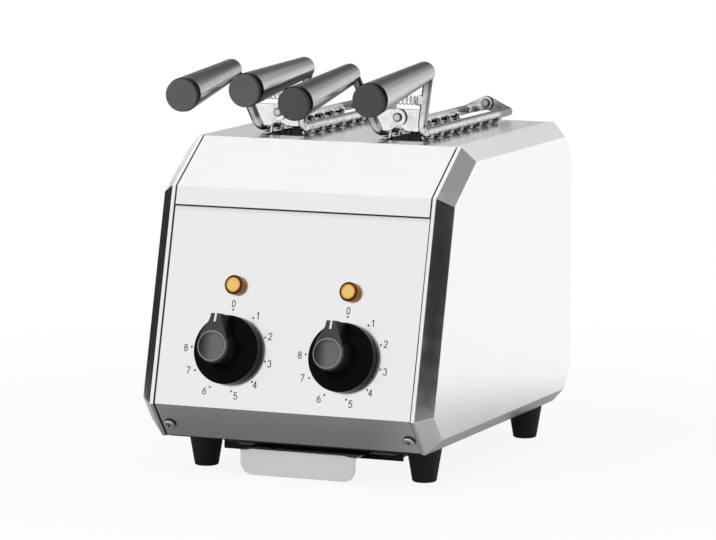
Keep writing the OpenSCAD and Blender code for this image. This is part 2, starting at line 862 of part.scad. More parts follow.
module tong_frame(side) {
    color("silver") difference() {
        union() {
            bent_rod(side);
            rod_loops(side);
            front_plate(side);
            rear_plate(side);
            spring_seat(side);
        }
        hinge_bore(rivet_a);
        hinge_bore(rivet_b);
    }
}

module tong_grid(side) {
    rows = 4;
    ledge_x = 3.4;
    hook_z = rod_z - hook_drop;
    length = grid_rear - grid_front;
    color("silver") difference() {
        union() {
            for (i = [0 : grid_count - 1]) translate([side * grid_x, grid_front + i * wire_step, 0]) {
                translate([0, 0, grid_low]) cylinder(h = hook_z - grid_low, d = wire_d);
                translate([0, 0, hook_z]) sphere(d = wire_d);
                translate([0, 0, hook_z]) rotate([0, side * 90, 0]) cylinder(h = rod_x - grid_x, d = wire_d);
                translate([0, 0, grid_low]) rotate([0, -side * 90, 0])
                    cylinder(h = grid_x - ledge_x, d = wire_d);
            }
            for (i = [0 : rows - 1]) translate([side * grid_x, grid_front, grid_low + i * grid_step])
                rotate([-90, 0, 0]) cylinder(h = length, d = wire_d);
            translate([side * ledge_x, grid_front, grid_low]) rotate([-90, 0, 0])
                cylinder(h = length, d = wire_d);
            for (x = [grid_x, ledge_x], y = [grid_front, grid_rear])
                translate([side * x, y, grid_low]) sphere(d = wire_d);
        }
        bent_rod(side);
    }
}

// Along a handle, with Z from its rear end to the front
module on_handle(tong, side) {
    top = rod_z + rise_of(side);
    i = handle_number(tong, side);
    translate([arm_x(side, top) - grip_shift, arm_y, top]) rotate([90 + droop[i], 0, toe[i]])
        translate([0, 0, -grip_in]) children();
}

module tong_handle(tong, side) {
    rear_r = handle_rear_d / 2;
    front_r = handle_front_d / 2;
    color("gray") difference() {
        on_handle(tong, side) rotate_extrude() polygon(concat(
            [[0, 0]],
            arc([rear_r - handle_round, handle_round], handle_round, -90, 0),
            [[front_r, handle_len], [front_r - handle_wall, handle_len]],
            [[rear_r - handle_wall, handle_round + handle_wall], [0, 2 * handle_wall]]
        ));
        bent_rod(side);
    }
}

module tong_cap(tong, side) {
    r = handle_front_d / 2 - cap_step;
    spigot_len = 8;
    spigot_taper = 0.6;
    spigot_r = handle_front_d / 2 - handle_wall - 0.4;
    edge = 1;
    color("dimgray") on_handle(tong, side) translate([0, 0, handle_len]) rotate_extrude() polygon(concat(
        [[0, -spigot_len], [spigot_r - spigot_taper, -spigot_len], [spigot_r, 0], [r, 0]],
        arc([r - edge, end_cap_t - edge], edge, 0, 90),
        [[0, end_cap_t]]
    ));
}

module tong_rivet(place, grip) {
    reach = grip / 2 + play / 2;
    edge = 1;
    head_corner = [rivet_head_d / 2 - edge, rivet_head_t - edge];
    at_rivet(place) {
        cylinder(h = 2 * reach, r = rivet_r, center = true);
        for (s = [0, 1]) mirror([0, 0, s]) translate([0, 0, reach - ANY]) rotate_extrude() polygon(concat(
            [[0, 0], [rivet_head_d / 2, 0]],
            arc(head_corner, edge, 0, 90),
            [[0, rivet_head_t]]
        ));
    }
}

module tong_rivets() {
    grip = 2 * plate_t + 2 * play;
    color("silver") {
        tong_rivet(rivet_a, grip);
        tong_rivet(rivet_b, grip);
    }
}

// The spring: one tube along a helix about X, eight rings to a turn and six points to a ring
spring_steps = 8;
spring_sides = 6;
spring_from = arm_x(left, spring_z) + seat_off(left) + play + spring_wire / 2;
spring_to = arm_x(right, spring_z) - seat_off(right) - play - spring_wire / 2;
coil_r = spring_d / 2 - spring_wire / 2;
function spring_middle(i) =
    let (turn = 360 * i / spring_steps, share = i / (spring_turns * spring_steps))
        [spring_from + (spring_to - spring_from) * share, coil_r * cos(turn), coil_r * sin(turn)];
function spring_ring(i) =
    let (turn = 360 * i / spring_steps, middle = spring_middle(i))
        [for (k = [0 : spring_sides - 1]) let (a = 360 * k / spring_sides)
            middle + spring_wire / 2 * [sin(a), cos(a) * cos(turn), cos(a) * sin(turn)]];
spring_last = spring_turns * spring_steps;
spring_gap = min([
    for (i = [0 : spring_last], j = [i + spring_steps / 2 : spring_last])
        norm(spring_middle(i) - spring_middle(j))
]) - spring_wire;

module tong_spring() {
    points = [for (i = [0 : spring_last]) each spring_ring(i)];
    ends = [
        for (k = [1 : spring_sides - 2]) [0, k, k + 1],
        for (k = [1 : spring_sides - 2]) [0, k + 1, k] + spring_last * spring_sides * [1, 1, 1]
    ];
    sides = [
        for (i = [0 : spring_last - 1], k = [0 : spring_sides - 1])
            let (a = i * spring_sides + k, b = i * spring_sides + (k + 1) % spring_sides)
                each [[a, a + spring_sides, b], [b, a + spring_sides, b + spring_sides]]
    ];
    color("silver") translate([0, arm_y, spring_z]) polyhedron(points, concat(ends, sides));
}

echo(spring_least_gap = spring_gap);
echo(middle_y = middle_y, slot_front = slot_front, slot_rear = slot_rear, top_z = top_z, grid_low = grid_low);
echo(rivet_a = rivet_a, rivet_b = rivet_b, hinge_tilt = hinge_tilt, rod_z = rod_z, tray_z = tray_z);

in_frame() base_plate();
in_frame() side_frame(left);  // side_frame_left
in_frame() side_frame(right);  // side_frame_right
in_frame() side_panel(left);  // side_panel_left
in_frame() side_panel(right);  // side_panel_right
in_frame() top_cover();
in_frame() control_panel();
in_frame() rear_panel();
in_frame() control_panel_screws();
in_frame() rear_panel_screws();
in_frame() bulkhead(bulk_front - sheet);  // front_bulkhead
in_frame() bulkhead(bulk_rear);  // rear_bulkhead
in_frame() reflector(-reflector_x);  // reflector_left
in_frame() reflector(reflector_x);  // reflector_right
in_frame() reflector(0);  // reflector_centre
in_frame() heater_tubes(left, left);  // heater_tubes_left_outer
in_frame() heater_tubes(left, right);  // heater_tubes_left_inner
in_frame() heater_tubes(right, left);  // heater_tubes_right_inner
in_frame() heater_tubes(right, right);  // heater_tubes_right_outer
in_frame() heater_end_caps();
in_frame() timer(left);  // timer_left
in_frame() timer(right);  // timer_right
in_frame() timer_shaft(left);  // timer_shaft_left
in_frame() timer_shaft(right);  // timer_shaft_right
in_frame() knob(left);  // knob_left
in_frame() knob(right);  // knob_right
in_frame() lamp_holder(left);  // lamp_holder_left
in_frame() lamp_holder(right);  // lamp_holder_right
in_frame() lamp_lens(left);  // lamp_lens_left
in_frame() lamp_lens(right);  // lamp_lens_right
in_frame() terminal_block();
in_frame() cord_gland();
in_frame() tray_rail(left);  // tray_rail_left
in_frame() tray_rail(right);  // tray_rail_right
in_frame() crumb_tray();
in_frame() foot(left, front_y + foot_front_in);  // foot_front_left
in_frame() foot(right, front_y + foot_front_in);  // foot_front_right
in_frame() foot(left, rear_y - foot_rear_in);  // foot_rear_left
in_frame() foot(right, rear_y - foot_rear_in);  // foot_rear_right
in_frame() foot_screws();
in_frame() at_slot(left) tong_frame(left);  // left_tong_left_frame
in_frame() at_slot(left) tong_frame(right);  // left_tong_right_frame
in_frame() at_slot(left) tong_grid(left);  // left_tong_left_grid
in_frame() at_slot(left) tong_grid(right);  // left_tong_right_grid
in_frame() at_slot(left) tong_handle(left, left);  // left_tong_left_handle
in_frame() at_slot(left) tong_handle(left, right);  // left_tong_right_handle
in_frame() at_slot(left) tong_cap(left, left);  // left_tong_left_cap
in_frame() at_slot(left) tong_cap(left, right);  // left_tong_right_cap
in_frame() at_slot(left) tong_rivets();  // left_tong_rivets
in_frame() at_slot(left) tong_spring();  // left_tong_spring
in_frame() at_slot(right) tong_frame(left);  // right_tong_left_frame
in_frame() at_slot(right) tong_frame(right);  // right_tong_right_frame
in_frame() at_slot(right) tong_grid(left);  // right_tong_left_grid
in_frame() at_slot(right) tong_grid(right);  // right_tong_right_grid
in_frame() at_slot(right) tong_handle(right, left);  // right_tong_left_handle
in_frame() at_slot(right) tong_handle(right, right);  // right_tong_right_handle
in_frame() at_slot(right) tong_cap(right, left);  // right_tong_left_cap
in_frame() at_slot(right) tong_cap(right, right);  // right_tong_right_cap
in_frame() at_slot(right) tong_rivets();  // right_tong_rivets
in_frame() at_slot(right) tong_spring();  // right_tong_spring
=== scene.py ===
# %% [markdown]
# # Dressing a two-slot tong toaster
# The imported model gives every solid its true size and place, so nothing is fitted here. This lesson sets
# the camera and the studio first, then the finishes, then the small pieces that a solid model leaves
# plain: dial numbers, lens prisms, screw recesses, polished rods and sprung coils. Lengths are metres in
# the model's own frame. Pieces that are drawn in millimetres become metres when they are placed.

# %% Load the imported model
import json
import math

import bpy
import numpy as np
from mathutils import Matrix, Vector


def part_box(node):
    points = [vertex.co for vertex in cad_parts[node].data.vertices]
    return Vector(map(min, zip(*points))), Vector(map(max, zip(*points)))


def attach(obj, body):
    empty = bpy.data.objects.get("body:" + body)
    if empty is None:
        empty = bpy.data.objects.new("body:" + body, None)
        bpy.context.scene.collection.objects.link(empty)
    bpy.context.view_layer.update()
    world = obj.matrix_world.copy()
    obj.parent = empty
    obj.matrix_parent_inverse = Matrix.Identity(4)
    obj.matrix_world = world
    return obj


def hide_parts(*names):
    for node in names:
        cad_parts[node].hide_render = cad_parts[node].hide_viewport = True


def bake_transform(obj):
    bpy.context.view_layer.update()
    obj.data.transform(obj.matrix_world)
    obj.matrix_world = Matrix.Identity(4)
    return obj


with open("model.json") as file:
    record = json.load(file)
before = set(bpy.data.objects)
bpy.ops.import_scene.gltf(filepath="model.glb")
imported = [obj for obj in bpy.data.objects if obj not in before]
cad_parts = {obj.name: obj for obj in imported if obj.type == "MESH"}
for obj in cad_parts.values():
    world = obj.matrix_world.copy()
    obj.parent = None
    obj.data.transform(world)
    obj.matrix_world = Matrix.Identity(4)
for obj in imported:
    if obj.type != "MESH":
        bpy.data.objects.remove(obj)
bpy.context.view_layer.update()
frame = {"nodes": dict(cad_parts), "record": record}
NODES = frame["nodes"]
MM = 0.001

# %% [markdown]
# ## The camera
# The photograph was taken from far away with a long lens, a little to the right and a little above. The
# place, direction and lens below come from fitting the body's corners. A long lens keeps parallel edges
# nearly parallel, which a short lens close by would spoil.

# %% Camera
EYE = Vector((1.224009, -2.844858, 0.559675))
AHEAD = Vector((-0.391356, 0.909992, -0.136947))
LENS_MM, SENSOR_MM = 224.32, 36.0
CLIP_NEAR, CLIP_FAR = 0.1, 50.0

camera = bpy.data.objects.new("camera", bpy.data.cameras.new("camera"))
camera.data.sensor_fit = "HORIZONTAL"
camera.data.sensor_width = SENSOR_MM
camera.data.lens = LENS_MM
camera.data.clip_start = CLIP_NEAR
camera.data.clip_end = CLIP_FAR
camera.location = EYE
camera.rotation_mode = "QUATERNION"
camera.rotation_quaternion = AHEAD.to_track_quat("-Z", "Y")
bpy.context.scene.collection.objects.link(camera)
bpy.context.scene.camera = camera
bpy.context.scene.view_settings.view_transform = "Standard"
print("camera at", [round(v, 3) for v in EYE], "lens", LENS_MM, "mm")

# %% [markdown]
# ## Meshes from arrays
# Every new piece is a grid of points worked out at once with numpy: ring after ring along a path or up a
# profile. These helpers turn such a grid into faces and put both into a mesh whose object stays at the
# origin, so that a pattern on Object coordinates lies still when the model is exported.

# %% Helpers for grids and meshes
def grid_faces(rows, cols):
    """Quads between neighbouring rings of points, stored ring by ring; the last column joins the first."""
    r, c = np.arange(rows - 1)[:, None], np.arange(cols)[None, :]
    d = (c + 1) % cols
    quads = np.stack([r * cols + c, r * cols + d, (r + 1) * cols + d, (r + 1) * cols + c], -1)
    return quads.reshape(-1, 4).tolist()


def tube_faces(rows, cols):
    """The quads of a grid of rings, then a flat face over the first ring and one over the last."""
    ring = np.arange(cols)
    return [*grid_faces(rows, cols), ring[::-1].tolist(), ((rows - 1) * cols + ring).tolist()]


def joined(parts):
    """Several (points, faces) pairs as one pair: each part's face numbers move up by the points before
    it."""
    points, faces, count = [], [], 0
    for p, f in parts:
        points.append(p)
        faces.extend([[int(i) + count for i in face] for face in f])
        count += len(p)
    return np.concatenate(points), faces


def make_mesh(name, points, faces, smooth=True):
    """A mesh object at the origin from points in the model's frame; smooth, for all faces or each,
    shades it round."""
    mesh = bpy.data.meshes.new(name)
    mesh.from_pydata(np.asarray(points, float).tolist(), [], [list(map(int, f)) for f in faces])
    mesh.polygons.foreach_set("use_smooth", np.broadcast_to(smooth, len(mesh.polygons)).astype(bool))
    mesh.update()
    obj = bpy.data.objects.new(name, mesh)
    bpy.context.scene.collection.objects.link(obj)
    return obj


print("mesh helpers ready")

# %% [markdown]
# ## Short words for nodes
# A finish is a graph of nodes: each takes numbers or colours in and puts one out. Written out, a single
# sum takes four lines, so each helper makes one node, feeds it and returns what it puts out. An input
# may be another node's socket or a fixed value.

# %% Node helpers
def feed(nt, socket, value):
    """An input linked to another socket, or set to a fixed value."""
    if isinstance(value, bpy.types.NodeSocket):
        nt.links.new(value, socket)
    else:
        socket.default_value = value


def number_math(nt, operation, *values):
    """A sum, product, sine or the like of numbers."""
    node = nt.nodes.new("ShaderNodeMath")
    node.operation = operation
    for socket, value in zip(node.inputs, values):
        feed(nt, socket, value)
    return node.outputs[0]


def vector_math(nt, operation, *values):
    """A sum, product, length or the like of vectors."""
    node = nt.nodes.new("ShaderNodeVectorMath")
    node.operation = operation
    for socket, value in zip(node.inputs, values):
        feed(nt, socket, value)
    return node.outputs["Value" if operation in ("LENGTH", "DOT_PRODUCT") else "Vector"]


def ramp_between(nt, value, low, high, to_low=0.0, to_high=1.0, smooth=False):
    """A range of numbers moved to another range, clamped; smooth eases both ends."""
    node = nt.nodes.new("ShaderNodeMapRange")
    node.interpolation_type = "SMOOTHSTEP" if smooth else "LINEAR"
    limits = {"From Min": low, "From Max": high, "To Min": to_low, "To Max": to_high}
    for label, number in {"Value": value, **limits}.items():
        feed(nt, node.inputs[label], number)
    return node.outputs["Result"]


def mix_shaders(nt, fac, first, second):
    """Two shaders mixed by a share."""
    node = nt.nodes.new("ShaderNodeMixShader")
    for socket, value in zip(node.inputs, (fac, first, second)):
        feed(nt, socket, value)
    return node.outputs[0]


print("node helpers ready")

# %% [markdown]
# ## The studio
# Bright metal has hardly any colour of its own: it shows the room. The photograph's room is a white
# sweep, with something dark to the left and to the right of the lens, because the slanted borders of the
# sides are nearly black while the flat panels are nearly white. So the world is white for what the lens
# and the metal see, and gives a weaker, even light to everything else.

# %% World
SOFT_LIGHT = 0.55
WHITE = (1.0, 1.0, 1.0, 1.0)


def light_path_seen(nt):
    """Two sockets: 1 for camera, glossy and transmission rays, and 1 for camera rays alone; soft light
    has 0."""
    path = nt.nodes.new("ShaderNodeLightPath").outputs
    first = number_math(nt, "MAXIMUM", path["Is Camera Ray"], path["Is Glossy Ray"])
    return number_math(nt, "MAXIMUM", first, path["Is Transmission Ray"]), path["Is Camera Ray"]


world = bpy.data.worlds.new("white_sweep")
bpy.context.scene.world = world
world.use_nodes = True
tree = world.node_tree
tree.nodes.clear()
soft, white = tree.nodes.new("ShaderNodeBackground"), tree.nodes.new("ShaderNodeBackground")
for background, strength in ((soft, SOFT_LIGHT), (white, 1.0)):
    background.inputs["Color"].default_value = WHITE
    background.inputs["Strength"].default_value = strength
seen, _ = light_path_seen(tree)
sky = tree.nodes.new("ShaderNodeOutputWorld")
feed(tree, sky.inputs["Surface"], mix_shaders(tree, seen, soft.outputs[0], white.outputs[0]))
print("world: soft light", SOFT_LIGHT, "and a white sweep")

# %% [markdown]
# ## The floor
# The sweep under the toaster is white for the lens and keeps a soft shadow near the feet. The metal sees
# something else there: the shade under the body, which turns the low chamfer and the sides' lower ends
# grey. One material does both, because Light Path tells it which kind of ray asks.

# %% Floor
FLOOR_SIZE, FLOOR_TONE, FLOOR_WHITE = 6.0, 0.85, 0.90
SHADE_FROM, SHADE_TO = 0.22, 0.75
UNDER_MIDDLE, UNDER_HALF = (-0.0275, 0.0145, 0.0), (0.0725, 0.1325, 0.0)
UNDER_TONE, UNDER_REACH = 0.163, 0.296


def bare_material(name):
    """A material with nothing but its output: the material, its tree and the socket that takes the
    shader."""
    mat = bpy.data.materials.new(name)
    mat.use_nodes = True
    mat.node_tree.nodes.clear()
    return mat, mat.node_tree, mat.node_tree.nodes.new("ShaderNodeOutputMaterial").inputs["Surface"]


def floor_material():
    """White for the lens, diffuse near the feet; for metal, a shade that lightens with the distance from
    the body."""
    mat, nt, surface = bare_material("pale_floor")
    seen_ray, camera_ray = light_path_seen(nt)
    xyz = nt.nodes.new("ShaderNodeTexCoord").outputs["Object"]
    pale, glow, shade = (nt.nodes.new(f"ShaderNode{kind}") for kind in ("BsdfDiffuse", "Emission", "Emission"))
    pale.inputs["Color"].default_value = (FLOOR_TONE, FLOOR_TONE, FLOOR_TONE, 1.0)
    glow.inputs["Color"].default_value = WHITE
    far = ramp_between(nt, vector_math(nt, "LENGTH", xyz), SHADE_FROM, SHADE_TO, FLOOR_WHITE, 1.0, smooth=True)
    white_share = number_math(nt, "MULTIPLY", far, camera_ray)
    for_lens = mix_shaders(nt, white_share, pale.outputs[0], glow.outputs[0])
    beside = vector_math(nt, "ABSOLUTE", vector_math(nt, "SUBTRACT", xyz, UNDER_MIDDLE))
    outside = vector_math(nt, "MAXIMUM", vector_math(nt, "SUBTRACT", beside, UNDER_HALF), (0.0, 0.0, 0.0))
    away = vector_math(nt, "LENGTH", outside)
    feed(nt, shade.inputs["Color"], ramp_between(nt, away, 0.0, UNDER_REACH, UNDER_TONE, 1.0))
    metal_share = number_math(nt, "SUBTRACT", seen_ray, camera_ray)
    feed(nt, surface, mix_shaders(nt, metal_share, for_lens, shade.outputs[0]))
    return mat


def flat_card(name, centre, across, up):
    """A flat four-cornered card: the centre plus and minus two half-edge vectors."""
    c, a, b = (np.asarray(v, float) for v in (centre, across, up))
    return make_mesh(name, np.array([c - a - b, c + a - b, c + a + b, c - a + b]), [[0, 1, 2, 3]], smooth=False)


floor = flat_card("floor", (0, 0, 0), (FLOOR_SIZE / 2, 0, 0), (0, FLOOR_SIZE / 2, 0))
floor.data.materials.append(floor_material())
print("floor", FLOOR_SIZE, "m wide")

# %% [markdown]
# ## Flags and lamps
# A photographer shapes bright metal with dark and grey cards, called flags. Each card here stands where
# one face looks, so that this face alone takes its tone. The flags show in reflections only and throw no
# shadow. Two soft lamps add gentle shading to the dark pieces, and metal doesn't show them as patches.

# %% Flags and lamps
MIDDLE = Vector((0.0, 0.0, 0.13))
# Name, azimuth and elevation in degrees, width, height, tone, distance.
FLAGS = [
    ("flag_right", 68, 11, 1.1, 2.0, 0.022, 1.6),
    ("flag_left", -94, 9, 0.5, 0.44, 0.03, 0.44),
    ("flag_rear_left", -142, 36, 0.6, 0.75, 0.10, 1.6),
    ("flag_rear_right", 119, 45, 0.6, 0.6, 0.27, 1.6),
    ("flag_rear", 172, 23, 0.7, 0.3, 0.70, 1.6),
    ("flag_rear_low", -157, 8, 0.9, 0.36, 0.48, 1.6),
    ("flag_front", -24, 19, 1.6, 1.1, 0.90, 2.6),
]
# Name, azimuth and elevation in degrees, distance, side, watts.
SOFTBOXES = [("key", -35, 50, 2.2, 1.2, 14.0), ("fill", 70, 40, 2.2, 1.0, 7.0)]


def heading(azimuth, elevation):
    """Unit vector for an azimuth from the front, positive to the right, and a height above the horizon,
    in degrees."""
    a, e = math.radians(azimuth), math.radians(elevation)
    return Vector((math.sin(a) * math.cos(e), -math.cos(a) * math.cos(e), math.sin(e)))


def flag(name, azimuth, elevation, width, height, tone, distance):
    """A card that faces the object from a heading, seen by glossy rays alone."""
    out_dir = heading(azimuth, elevation)
    across = out_dir.cross(Vector((0, 0, 1))).normalized()
    up = across.cross(out_dir).normalized()
    card = flat_card(name, MIDDLE + out_dir * distance, across * width / 2, up * height / 2)
    mat, nt, surface = bare_material(name)
    glow = nt.nodes.new("ShaderNodeEmission")
    glow.inputs["Color"].default_value = (tone, tone, tone, 1.0)
    feed(nt, surface, glow.outputs[0])
    card.data.materials.append(mat)
    card.visible_camera = False
    card.visible_diffuse = False
    card.visible_shadow = False
    card.visible_transmission = False


def softbox(name, azimuth, elevation, distance, side, watts):
    """A square area lamp aimed at the object from a heading; metal doesn't show it as a patch."""
    lamp = bpy.data.objects.new(name, bpy.data.lights.new(name, "AREA"))
    lamp.data.size = side
    lamp.data.energy = watts
    lamp.location = MIDDLE + heading(azimuth, elevation) * distance
    lamp.rotation_mode = "QUATERNION"
    lamp.rotation_quaternion = (-heading(azimuth, elevation)).to_track_quat("-Z", "Y")
    lamp.visible_glossy = False
    bpy.context.scene.collection.objects.link(lamp)


for values in FLAGS:
    flag(*values)
for values in SOFTBOXES:
    softbox(*values)
print("flags", [f[0] for f in FLAGS], "and", len(SOFTBOXES), "softboxes")

# %% [markdown]
# ## Shared effects
# Sheet, wire and tube come from the same mill, so they share two effects: fine drawn grain and the soft
# smudges of handling. Moulded pieces share a fine eroded grain. Each effect is a node group with its own
# inputs, and puts out only values that change over the surface. The shader itself stays in each
# material.

# %% Grain and smudges
NOISE_SPAN = (0.3, 0.7)


def start_group(name, inputs, outputs):
    """A shader group with named sockets: inputs are (name, type, value), outputs are names of numbers."""
    group = bpy.data.node_groups.new(name, "ShaderNodeTree")
    for label, kind, value in inputs:
        socket = group.interface.new_socket(label, in_out="INPUT", socket_type=f"NodeSocket{kind}")
        if value is not None:
            socket.default_value = value
    for label in outputs:
        group.interface.new_socket(label, in_out="OUTPUT", socket_type="NodeSocketFloat")
    return group, group.nodes.new("NodeGroupInput").outputs, group.nodes.new("NodeGroupOutput").inputs


def noise(nt, vector, scale, detail, roughness=0.5):
    """A noise texture on coordinates; what it puts out lies mostly within the noise span."""
    node = nt.nodes.new("ShaderNodeTexNoise")
    for label, value in {"Vector": vector, "Scale": scale, "Detail": detail, "Roughness": roughness}.items():
        feed(nt, node.inputs[label], value)
    return node.outputs[0]


def drawn_grain_group():
    """Streaks: noise on coordinates pressed together across the grain, so that each grain becomes a long
    line."""
    group, given, end = start_group(
        "drawn_grain", [("Vector", "Vector", None), ("Streak", "Vector", (30.0, 2500.0, 2500.0))],
        ["Tone", "Height"])
    fine = noise(group, vector_math(group, "MULTIPLY", given["Vector"], given["Streak"]), 1.0, 3.0, 0.6)
    feed(group, end["Tone"], ramp_between(group, fine, *NOISE_SPAN))
    feed(group, end["Height"], fine)
    return group


def smudge_group():
    """Handling marks: two sizes of soft noise multiplied, so that patches fade in and out."""
    group, given, end = start_group(
        "handling_smudges", [("Vector", "Vector", None), ("Size", "Float", 18.0)], ["Mask"])
    broad = ramp_between(group, noise(group, given["Vector"], given["Size"], 2.0), 0.35, 0.65)
    close = ramp_between(group, noise(group, given["Vector"], 140.0, 4.0), *NOISE_SPAN)
    feed(group, end["Mask"], number_math(group, "MULTIPLY", broad, close))
    return group


def moulded_grain_group():
    """Eroded grain: fine cells give the height, and a broad slow noise gives a faint change of tone."""
    group, given, end = start_group(
        "moulded_grain", [("Vector", "Vector", None), ("Grain", "Float", 2200.0)], ["Tone", "Height"])
    cells = group.nodes.new("ShaderNodeTexVoronoi")
    feed(group, cells.inputs["Vector"], given["Vector"])
    feed(group, cells.inputs["Scale"], given["Grain"])
    feed(group, end["Height"], cells.outputs["Distance"])
    feed(group, end["Tone"], ramp_between(group, noise(group, given["Vector"], 60.0, 3.0), *NOISE_SPAN))
    return group


DRAWN_GRAIN, SMUDGES, MOULDED_GRAIN = drawn_grain_group(), smudge_group(), moulded_grain_group()
print("groups", [g.name for g in bpy.data.node_groups])

# %% [markdown]
# ## Where a point lies on a round piece
# Knobs, handles and rivets are round, and their tones follow that: bands round a tube, rings on a knob.
# Unwrapping could give such places, but a little vector arithmetic on Object coordinates does it without
# a seam. It is one more group, set up for each piece with a point on its axis and the axis itself.

# %% Place about an axis
def coordinate(nt, vector, letter):
    """One of the three numbers of a vector."""
    split = nt.nodes.new("ShaderNodeSeparateXYZ")
    feed(nt, split.inputs[0], vector)
    return split.outputs[letter]


def about_axis_group():
    """How far a point lies along an axis, how far from it, and how far round from the top, from 1 down
    to -1."""
    group, given, end = start_group(
        "place_about_axis",
        [("Vector", "Vector", None), ("Middle", "Vector", (0.0, 0.0, 0.0)),
         ("Axis", "Vector", (0.0, 0.0, 1.0))],
        ["Along", "Radius", "Top"])
    from_middle = vector_math(group, "SUBTRACT", given["Vector"], given["Middle"])
    along = vector_math(group, "DOT_PRODUCT", from_middle, given["Axis"])
    away = vector_math(group, "SUBTRACT", from_middle, vector_math(group, "MULTIPLY", given["Axis"], along))
    feed(group, end["Along"], along)
    feed(group, end["Radius"], vector_math(group, "LENGTH", away))
    feed(group, end["Top"], coordinate(group, vector_math(group, "NORMALIZE", away), "Z"))
    return group


ABOUT_AXIS = about_axis_group()
sockets = ABOUT_AXIS.interface.items_tree
print(ABOUT_AXIS.name, "puts out", [s.name for s in sockets if s.in_out == "OUTPUT"])

# %% [markdown]
# ## Metals
# One function makes every metal, and each finish is a line of values. Metals differ in tone, in how
# rough they are and in the way their grain runs. The folded sheets are drawn across the toaster, the
# side pressings from front to rear, and wire and tube along their length.

# %% Material helpers
def new_material(name):
    """A material, its tree, its Principled shader and its Object coordinates."""
    mat = bpy.data.materials.new(name)
    mat.use_nodes = True
    nt = mat.node_tree
    return mat, nt, nt.nodes["Principled BSDF"], nt.nodes.new("ShaderNodeTexCoord").outputs["Object"]


def place(nt, group, vector, **values):
    """What a node group puts out when it is fed with coordinates and its own values."""
    node = nt.nodes.new("ShaderNodeGroup")
    node.node_tree = group
    for label, value in {"Vector": vector, **values}.items():
        feed(nt, node.inputs[label], value)
    return node.outputs


def mixed(nt, fac, first, second, blend="MIX"):
    """Two colours mixed, or multiplied, by a share; a fixed colour is three numbers."""
    node = nt.nodes.new("ShaderNodeMix")
    node.data_type, node.blend_type = "RGBA", blend
    for label, value in {"Factor": fac, "A": first, "B": second}.items():
        feed(nt, node.inputs[label], (*value, 1.0) if isinstance(value, tuple) else value)
    return node.outputs["Result"]


def add_bump(nt, shader, height, depth, strength):
    """A bump of a height map, depth in metres, into the shader's normal."""
    bump = nt.nodes.new("ShaderNodeBump")
    for label, value in {"Height": height, "Distance": depth, "Strength": strength}.items():
        feed(nt, bump.inputs[label], value)
    feed(nt, shader.inputs["Normal"], bump.outputs["Normal"])


print("material helpers ready")

# %% Metals
GRAIN_DEEP = 0.01 * MM
ALONG_X, ALONG_Y = (30.0, 2500.0, 2500.0), (2500.0, 30.0, 2500.0)
BODY_SHEET = ((0.94, 0.935, 0.945), (0.915, 0.91, 0.92), 0.17, 0.25, ALONG_X, 0.05)


def metal(name, light, dark, smooth, rough, streak, bump=0.15, smudge=18.0):
    """Drawn metal: grain moves the tone from dark to light, smudges move the roughness from smooth to
    rough."""
    mat, nt, shader, coords = new_material(name)
    grain = place(nt, DRAWN_GRAIN, coords, Streak=streak)
    handled = place(nt, SMUDGES, coords, Size=smudge)
    shader.inputs["Metallic"].default_value = 1.0
    feed(nt, shader.inputs["Base Color"], mixed(nt, grain["Tone"], dark, light))
    feed(nt, shader.inputs["Roughness"], ramp_between(nt, handled["Mask"], 0.0, 1.0, smooth, rough))
    add_bump(nt, shader, grain["Height"], GRAIN_DEEP, bump)
    return mat


METALS = {
    "body_steel": metal("folded_steel", *BODY_SHEET),
    "side_steel": metal("pressed_steel", (0.94, 0.94, 0.955), (0.92, 0.92, 0.935), 0.17, 0.25, ALONG_Y, 0.04),
    "screw_steel": metal("bright_screws", (0.80, 0.80, 0.80), (0.66, 0.66, 0.67), 0.20, 0.32, ALONG_X),
    "inner_sheet": metal("aluminised_sheet", (0.72, 0.72, 0.70), (0.58, 0.58, 0.57), 0.34, 0.48, ALONG_Y),
    "tong_steel": metal("bright_rod", (0.84, 0.84, 0.85), (0.74, 0.74, 0.75), 0.12, 0.20, ALONG_Y,
                        smudge=40.0),
    "spring_steel": metal("spring_wire", (0.66, 0.66, 0.67), (0.54, 0.54, 0.55), 0.18, 0.26, ALONG_X,
                          smudge=80.0),
}
print("metals", list(METALS))

# %% [markdown]
# ## Moulded pieces
# Feet, timer cases, insulators and the gland are moulded or pressed from powder, so they have no drawn
# grain. A fine eroded skin and a faint change of tone keep them from looking like flat paint.

# %% Moulded pieces
SKIN_STRENGTH, SKIN_SPREAD = 0.3, 0.05


def moulded(name, colour, lift, rough, grain, depth, specular=0.5):
    """Moulded or pressed material: a slow tone between colour and lift times colour, and fine eroded
    grain."""
    mat, nt, shader, coords = new_material(name)
    skin = place(nt, MOULDED_GRAIN, coords, Grain=grain)
    brighter = tuple(min(1.0, c * lift) for c in colour)
    roughness = ramp_between(nt, skin["Tone"], 0.0, 1.0, rough - SKIN_SPREAD, rough + SKIN_SPREAD)
    feed(nt, shader.inputs["Base Color"], mixed(nt, skin["Tone"], colour, brighter))
    feed(nt, shader.inputs["Roughness"], roughness)
    shader.inputs["Specular IOR Level"].default_value = specular
    add_bump(nt, shader, skin["Height"], depth, SKIN_STRENGTH)
    return mat


MOULDED = {
    "insulator": moulded("ceramic", (0.72, 0.69, 0.62), 1.1, 0.55, 1800.0, 0.03 * MM),
    "timer_case": moulded("timer_case", (0.10, 0.10, 0.11), 1.3, 0.50, 1500.0, 0.03 * MM),
    "black_plastic": moulded("black_plastic", (0.006, 0.006, 0.007), 1.5, 0.34, 2600.0, 0.02 * MM, 0.25),
    "foot_rubber": moulded("foot_rubber", (0.012, 0.011, 0.012), 1.6, 0.60, 2000.0, 0.04 * MM, 0.3),
}
print("moulded", list(MOULDED))

